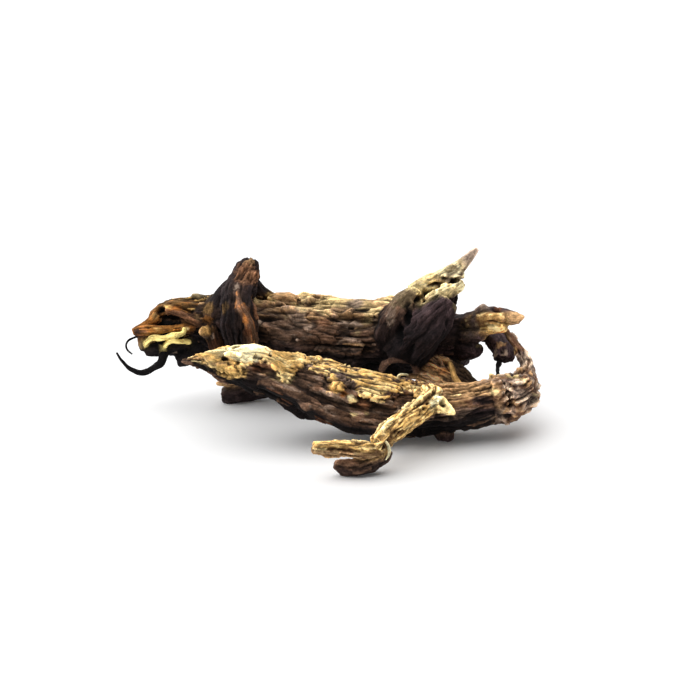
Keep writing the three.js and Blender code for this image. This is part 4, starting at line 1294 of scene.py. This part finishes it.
def paint_broken_wood(paint):
    """The crumbly break: cream wood with purple, moss and brown in it."""
    rough, slow = paint.rough, paint.slow
    crumbs = soft_noise(paint.bark.points / 0.8 + 5.5)
    crumbly = paint.on("break_rim_back", "break_rim_front", "branch_slab", "break_rim_end")
    paint.blend(crumbly * ramp(rough + 0.5 * slow, 0.1, 0.35), "cream", 0.8)
    paint.blend(crumbly * ramp(-rough + 0.5 * slow, 0.25, 0.5), "plum", 0.45)
    paint.blend(crumbly * ramp(crumbs, 0.30, 0.55), "moss", 0.6)
    paint.blend(crumbly * ramp(paint.z + 2 * rough, 43, 47) * ramp(paint.fine, -0.1, 0.3), "umber", 0.6)
    paint.blend(crumbly * ramp(-slow + 0.6 * rough, 0.15, 0.4), "tan", 0.5)


# %% Rootlet cluster
def paint_cluster(paint):
    """Black at the foot, purplish where the rootlets leave it."""
    rough = paint.rough
    paint.blend(paint.on("cluster_base") * ramp(-paint.z + 2 * rough, -31, -24), "ink", 0.6)
    cluster = paint.on(
        "rootlet_back", "rootlet_upper", "rootlet_lower", "rootlet_nub", "rootlet_green", "rootlet_tan",
    )
    inner = cluster * ramp(-paint.x + 1.5 * rough, -48, -45.8)
    paint.blend(inner, "soot", 0.3)
    paint.blend(inner * ramp(rough + paint.slow, -0.1, 0.3), "plum", 0.7)


# %% Crown
def paint_crown(paint):
    """Black underneath as painted shade, with lemon fibres, and orange-brown streaks above and on the peg's
    rib.
    """
    fine, streaks = paint.fine, paint.streaks
    # the pieces under the crown go black: painted shade
    paint.blend(paint.on("crown_under", "crown_lower", "crown_core"), "ink", 0.92)
    paint.blend(paint.on("pale_fibre_upper", "pale_fibre_lower"), "lemon")
    orange = paint.on("crown_middle", "crown_wedge", "crown_upper", "peg_rib")
    paint.blend(orange * ramp(fine + 0.4 * streaks, 0.2, 0.6), "amber", 0.6)
    paint.blend(orange * ramp(-fine + 0.4 * streaks, 0.15, 0.5), "rust", 0.6)
    # soot on the lower sides of the middle rootlet, the wedge and the knob: painted shade
    shaded = paint.on("crown_middle", "crown_wedge", "crown_knob")
    paint.blend(shaded * ramp(-paint.up, 0.2, 0.7), "soot", 0.85)
    crown = paint.on(
        "crown_upper", "crown_middle", "crown_wedge", "crown_strand", "crown_rib", "crown_knob",
    )
    paint.shade(1 - 0.32 * crown)
    paint.shade(1 - 0.3 * paint.on("crown_rib"))


# %% All the paint, in order
PARTS = [
    paint_loose_plates, paint_main_root, paint_low_rootlet_and_peg, paint_front_root, paint_bend,
    paint_pale_layer, shade_front_root, paint_bare_wood, paint_twig, paint_lobes, paint_broken_wood,
    paint_cluster, paint_crown,
]


def paint_of(bark, relief):
    """The paint of every point: each root's colour, the parts, the patches, the strands and fine grain."""
    paint = Paint(bark, relief)
    paint.shade(np.exp(0.7 * paint.streaks))
    for paint_part in PARTS:
        paint_part(paint)
    for x, y, z, reach_x, reach_y, reach_z, name, strength in PATCHES:
        mask = patch(bark.points, (x, y, z), (reach_x, reach_y, reach_z), relief.ragged)
        paint.blend(mask, name, strength)
    for close, cover, name in relief.strands:
        paint.colours[close] += cover[:, None] * (PAINTS[name] - paint.colours[close])
    paint.shade(np.exp(0.6 * paint.fine + 0.45 * soft_noise(bark.points / 0.6 + 1.9)))
    return paint.colours


# %% Put the paint on a mesh
FINE_HOLLOW = 0.40
BROAD_HOLLOW = 1.2
FINE_PASSES = 8
BROAD_PASSES = 90


def uncarved(mesh):
    """Where each point lay before the bark was carved."""
    places = np.zeros(len(mesh.vertices) * 3, np.float32)
    mesh.attributes["uncarved"].data.foreach_get("vector", places)
    mesh.attributes.remove(mesh.attributes["uncarved"])
    return places.reshape(-1, 3).astype(float)


def paint_mesh(mesh):
    bark = Bark(uncarved(mesh))
    relief = Relief(bark)
    paint = paint_of(bark, relief)
    fine = hollows(mesh, FINE_PASSES)
    broad = hollows(mesh, BROAD_PASSES)
    for kind, depth in (("fine", fine), ("broad", broad)):
        print(kind, "hollows in mm:", np.percentile(depth, (2, 50, 98)).round(2))
    store(mesh, "paint", "FLOAT_COLOR", np.column_stack([paint, np.ones(len(paint))]))
    # the hollow depths feed the material's painted shade and painted highlight
    store(mesh, "fine_hollow", "FLOAT", np.clip(0.5 + 0.5 * fine / FINE_HOLLOW, 0, 1))
    store(mesh, "broad_hollow", "FLOAT", np.clip(0.5 + 0.5 * broad / BROAD_HOLLOW, 0, 1))
    store(mesh, "grain", "FLOAT_VECTOR", bark.straight(1, 1))


paint_mesh(skin_mesh)
print("painted", len(skin_mesh.vertices), "points")

# %% [markdown]
# ## The material
#
# Dried bark is dull. Its colour is painted darker in its hollows as painted shade and paler on its ridges as
# painted highlight, with fine streaks along the grain. A group works the streaks out once, so that the skin
# and the loose pieces share them.

# %% Grain group
def socket(group, name, direction, kind):
    return group.interface.new_socket(name=name, in_out=direction, socket_type=kind)


def make_grain_group():
    """Streaks, specks and a bump height from the pulled-straight place of a point."""
    group = bpy.data.node_groups.new("root_grain", "ShaderNodeTree")
    socket(group, "Grain", "INPUT", "NodeSocketVector")
    socket(group, "Streak Scale", "INPUT", "NodeSocketFloat")
    socket(group, "Streak", "OUTPUT", "NodeSocketFloat")
    socket(group, "Speck", "OUTPUT", "NodeSocketFloat")
    socket(group, "Height", "OUTPUT", "NodeSocketFloat")
    nodes, links = group.nodes, group.links
    inputs = nodes.new("NodeGroupInput")
    outputs = nodes.new("NodeGroupOutput")
    stretch = nodes.new("ShaderNodeVectorMath")
    stretch.operation = "MULTIPLY"
    stretch.inputs[1].default_value = (0.25, 1, 1)
    links.new(inputs.outputs["Grain"], stretch.inputs[0])
    streak = nodes.new("ShaderNodeTexNoise")
    streak.inputs["Detail"].default_value = 4
    streak.inputs["Roughness"].default_value = 0.65
    links.new(stretch.outputs[0], streak.inputs["Vector"])
    links.new(inputs.outputs["Streak Scale"], streak.inputs["Scale"])
    speck = nodes.new("ShaderNodeTexNoise")
    speck.inputs["Scale"].default_value = 2.2
    speck.inputs["Detail"].default_value = 3
    links.new(inputs.outputs["Grain"], speck.inputs["Vector"])
    height = nodes.new("ShaderNodeMath")
    height.operation = "MULTIPLY_ADD"
    height.inputs[1].default_value = 0.7
    links.new(streak.outputs["Fac"], height.inputs[0])
    links.new(speck.outputs["Fac"], height.inputs[2])
    links.new(streak.outputs["Fac"], outputs.inputs["Streak"])
    links.new(speck.outputs["Fac"], outputs.inputs["Speck"])
    links.new(height.outputs[0], outputs.inputs["Height"])
    return group


GRAIN_GROUP = make_grain_group()
print("group outputs:", [item.name for item in GRAIN_GROUP.interface.items_tree if item.in_out == "OUTPUT"])


# %% Bark material
def attribute_node(nodes, name):
    node = nodes.new("ShaderNodeAttribute")
    node.attribute_name = name
    return node


def ramp_node(nodes, links, value, stops):
    """A colour ramp of greys; each stop is a position and how bright it is."""
    node = nodes.new("ShaderNodeValToRGB")
    elements = node.color_ramp.elements
    while len(elements) < len(stops):
        elements.new(0.5)
    for element, (position, level) in zip(elements, stops):
        element.position = position
        element.color = (level, level, level, 1)
    links.new(value, node.inputs[0])
    return node.outputs["Color"]


def multiplied(nodes, links, first, second, amount):
    node = nodes.new("ShaderNodeMix")
    node.data_type = "RGBA"
    node.blend_type = "MULTIPLY"
    node.inputs["Factor"].default_value = amount
    links.new(first, node.inputs["A"])
    links.new(second, node.inputs["B"])
    return node.outputs["Result"]


# painted shade in the hollows and painted highlight on the ridges, by how deep a point lies below its
# surroundings
FINE_PAINTED_SHADE_AND_HIGHLIGHT = [(0.0, 2.0), (0.35, 1.3), (0.5, 1.0), (0.7, 0.6), (1.0, 0.25)]
BROAD_PAINTED_SHADE_AND_HIGHLIGHT = [(0.0, 1.5), (0.4, 1.15), (0.55, 0.85), (0.8, 0.35), (1.0, 0.12)]
STREAK_SHADES = [(0.30, 0.40), (0.5, 1.0), (0.70, 1.65)]
SPECK_SHADES = [(0.32, 0.55), (0.5, 1.0), (0.68, 1.4)]
DULLNESS = [(0.2, 0.95), (0.8, 0.7)]
SHINE = 0.12
STREAK_SCALE = 2.0
BUMP_STRENGTH = 0.8
BUMP_DEPTH = 0.0003


def bark_material():
    material = bpy.data.materials.new("dry_bark")
    material.use_nodes = True
    nodes, links = material.node_tree.nodes, material.node_tree.links
    shader = nodes["Principled BSDF"]
    grain = nodes.new("ShaderNodeGroup")
    grain.node_tree = GRAIN_GROUP
    grain.inputs["Streak Scale"].default_value = STREAK_SCALE
    links.new(attribute_node(nodes, "grain").outputs["Vector"], grain.inputs["Grain"])
    colour = attribute_node(nodes, "paint").outputs["Color"]
    fine = ramp_node(nodes, links, attribute_node(nodes, "fine_hollow").outputs["Fac"], FINE_PAINTED_SHADE_AND_HIGHLIGHT)
    broad = ramp_node(nodes, links, attribute_node(nodes, "broad_hollow").outputs["Fac"], BROAD_PAINTED_SHADE_AND_HIGHLIGHT)
    streaks = ramp_node(nodes, links, grain.outputs["Streak"], STREAK_SHADES)
    specks = ramp_node(nodes, links, grain.outputs["Speck"], SPECK_SHADES)
    # the fine and broad ramps are painted shade and painted highlight; streaks and specks vary the tone at
    # random
    for shade, amount in ((fine, 1.0), (broad, 0.9), (streaks, 0.8), (specks, 0.7)):
        colour = multiplied(nodes, links, colour, shade, amount)
    links.new(colour, shader.inputs["Base Color"])
    rough = ramp_node(nodes, links, grain.outputs["Speck"], DULLNESS)
    links.new(rough, shader.inputs["Roughness"])
    shader.inputs["Specular IOR Level"].default_value = SHINE
    bump = nodes.new("ShaderNodeBump")
    bump.inputs["Strength"].default_value = BUMP_STRENGTH
    bump.inputs["Distance"].default_value = BUMP_DEPTH
    links.new(grain.outputs["Height"], bump.inputs["Height"])
    links.new(bump.outputs["Normal"], shader.inputs["Normal"])
    return material


BARK = bark_material()
print("material:", BARK.name)


# %% Dress the skin
def dress(name, mesh):
    """Turn a mesh in millimetres into a finished piece of the root, in metres."""
    shape = bmesh.new()
    shape.from_mesh(mesh)
    bmesh.ops.scale(shape, vec=(MM, MM, MM), verts=shape.verts)
    shape.to_mesh(mesh)
    shape.free()
    mesh.materials.clear()
    mesh.materials.append(BARK)
    mesh.shade_smooth()
    piece = new_object(name, mesh)
    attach(piece, "root")
    return piece


skin = dress("root_skin", skin_mesh)
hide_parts("root")
print("skin dressed")

# %% [markdown]
# ## Thin rootlets
#
# The hook, the split hair inside it, the torn fibres and the strands at the bend are only a
# millimetre or two thick. Each is a rod that is bent along its route, as a dried rootlet is, with a
# few flats and knots.

# %% Thin rootlets
WHITE_FIBRE = [
    (21.5, -5.0, 16.5, 0.45), (21.4, -5.0, 18.2, 0.4), (21.5, -5.0, 19.2, 0.4),
    (22.3, -5.1, 19.9, 0.35), (24.3, -5.3, 19.9, 0.25),
]
EYELET_RIM = [
    (-29.0, -6.0, 27.6, 0.35), (-27.8, -5.8, 28.3, 0.4), (-26.0, -5.6, 28.7, 0.45),
    (-24.4, -5.6, 28.8, 0.5), (-22.6, -6.0, 28.4, 0.4),
]
FORK_CURL = [
    (16.2, -33.5, 10.6, 0.3), (17.6, -34.8, 8.8, 0.5), (18.0, -35.6, 6.8, 0.45), (17.0, -36.0, 5.2, 0.2),
]
EXTRA_ROOTLETS = {"white_fibre": WHITE_FIBRE, "eyelet_rim": EYELET_RIM, "fork_curl": FORK_CURL}
EXTRA_COLOUR = "cream"
ROD_SIDES = 8
RING_GAP = 0.5
FEWEST_RINGS = 6
KNOT_HEIGHT = 0.40


def straight_rod(rings):
    """A rod of length 1 and radius 1 along Z, cut into rings."""
    shape = bmesh.new()
    bmesh.ops.create_cone(shape, cap_ends=True, segments=ROD_SIDES, radius1=1, radius2=1, depth=1)
    sides = [edge for edge in shape.edges if abs(edge.verts[0].co.z - edge.verts[1].co.z) > 0.5]
    bmesh.ops.subdivide_edges(shape, edges=sides, cuts=rings - 1, use_grid_fill=True)
    mesh = bpy.data.meshes.new("rod")
    shape.to_mesh(mesh)
    shape.free()
    return mesh


def sampled(t, columns):
    """The columns of a table read at the row numbers t, with straight lines between its rows."""
    return np.column_stack([np.interp(t, np.arange(len(columns)), column) for column in columns.T])


def rod(route):
    """A rod bent along a route, in millimetres, and the pulled-straight place of its points."""
    stations = smooth_route(route)
    length = np.linalg.norm(np.diff(stations[:, :3], axis=0), axis=1).sum()
    mesh = straight_rod(max(FEWEST_RINGS, round(length / RING_GAP)))
    straight = points_of(mesh)
    t = (straight[:, 2] + 0.5) * (len(stations) - 1)
    sample = sampled(t, stations)
    middle, radius = sample[:, :3], sample[:, 3]
    grain = sampled(t, unit(np.gradient(stations[:, :3], axis=0)))
    steady = np.eye(3)[np.abs(grain).max(axis=0).argmin()]
    side = unit(np.cross(steady, grain))
    over = np.cross(side, unit(grain))
    angle = np.arctan2(straight[:, 1], straight[:, 0])
    knots = soft_noise(np.column_stack([t * 0.25, np.cos(angle), np.sin(angle)]) + middle[0])
    thick = radius * (1 + KNOT_HEIGHT * knots) * np.hypot(straight[:, 0], straight[:, 1])
    drift = [soft_noise(np.column_stack([t * 0.12, t * 0, t * 0 + shift])) for shift in (3.1, 7.7)]
    sway = np.column_stack(drift)
    middle = middle + radius[:, None] * (side * sway[:, :1] + over * sway[:, 1:])
    place = middle + side * (thick * np.cos(angle))[:, None] + over * (thick * np.sin(angle))[:, None]
    place_points(mesh, place)
    across = straight[:, :2] * radius[:, None]
    return mesh, np.column_stack([t * length / len(stations), across])


def thin_rootlet(name, route, colour):
    """One thin rootlet as a piece of its own, stained and streaked along its length."""
    mesh, grain_place = rod(route)
    count = len(mesh.vertices)
    stain = np.exp(0.9 * soft_noise(grain_place * (0.35, 0.9, 0.9)))[:, None]
    store(mesh, "paint", "FLOAT_COLOR", np.column_stack([PAINTS[colour] * stain, np.ones(count)]))
    store(mesh, "fine_hollow", "FLOAT", 0.42 + 0.35 * soft_noise(grain_place * (0.6, 2.5, 2.5)))
    store(mesh, "broad_hollow", "FLOAT", np.full(count, 0.45))
    store(mesh, "grain", "FLOAT_VECTOR", grain_place)
    dress(name, mesh)


for name in THIN_ROOTS:
    thin_rootlet(name, ROUTES[name], LOOKS[name][1])
for name, route in EXTRA_ROOTLETS.items():
    thin_rootlet(name, route, EXTRA_COLOUR)
print(len(THIN_ROOTS) + len(EXTRA_ROOTLETS), "thin rootlets and fibres")
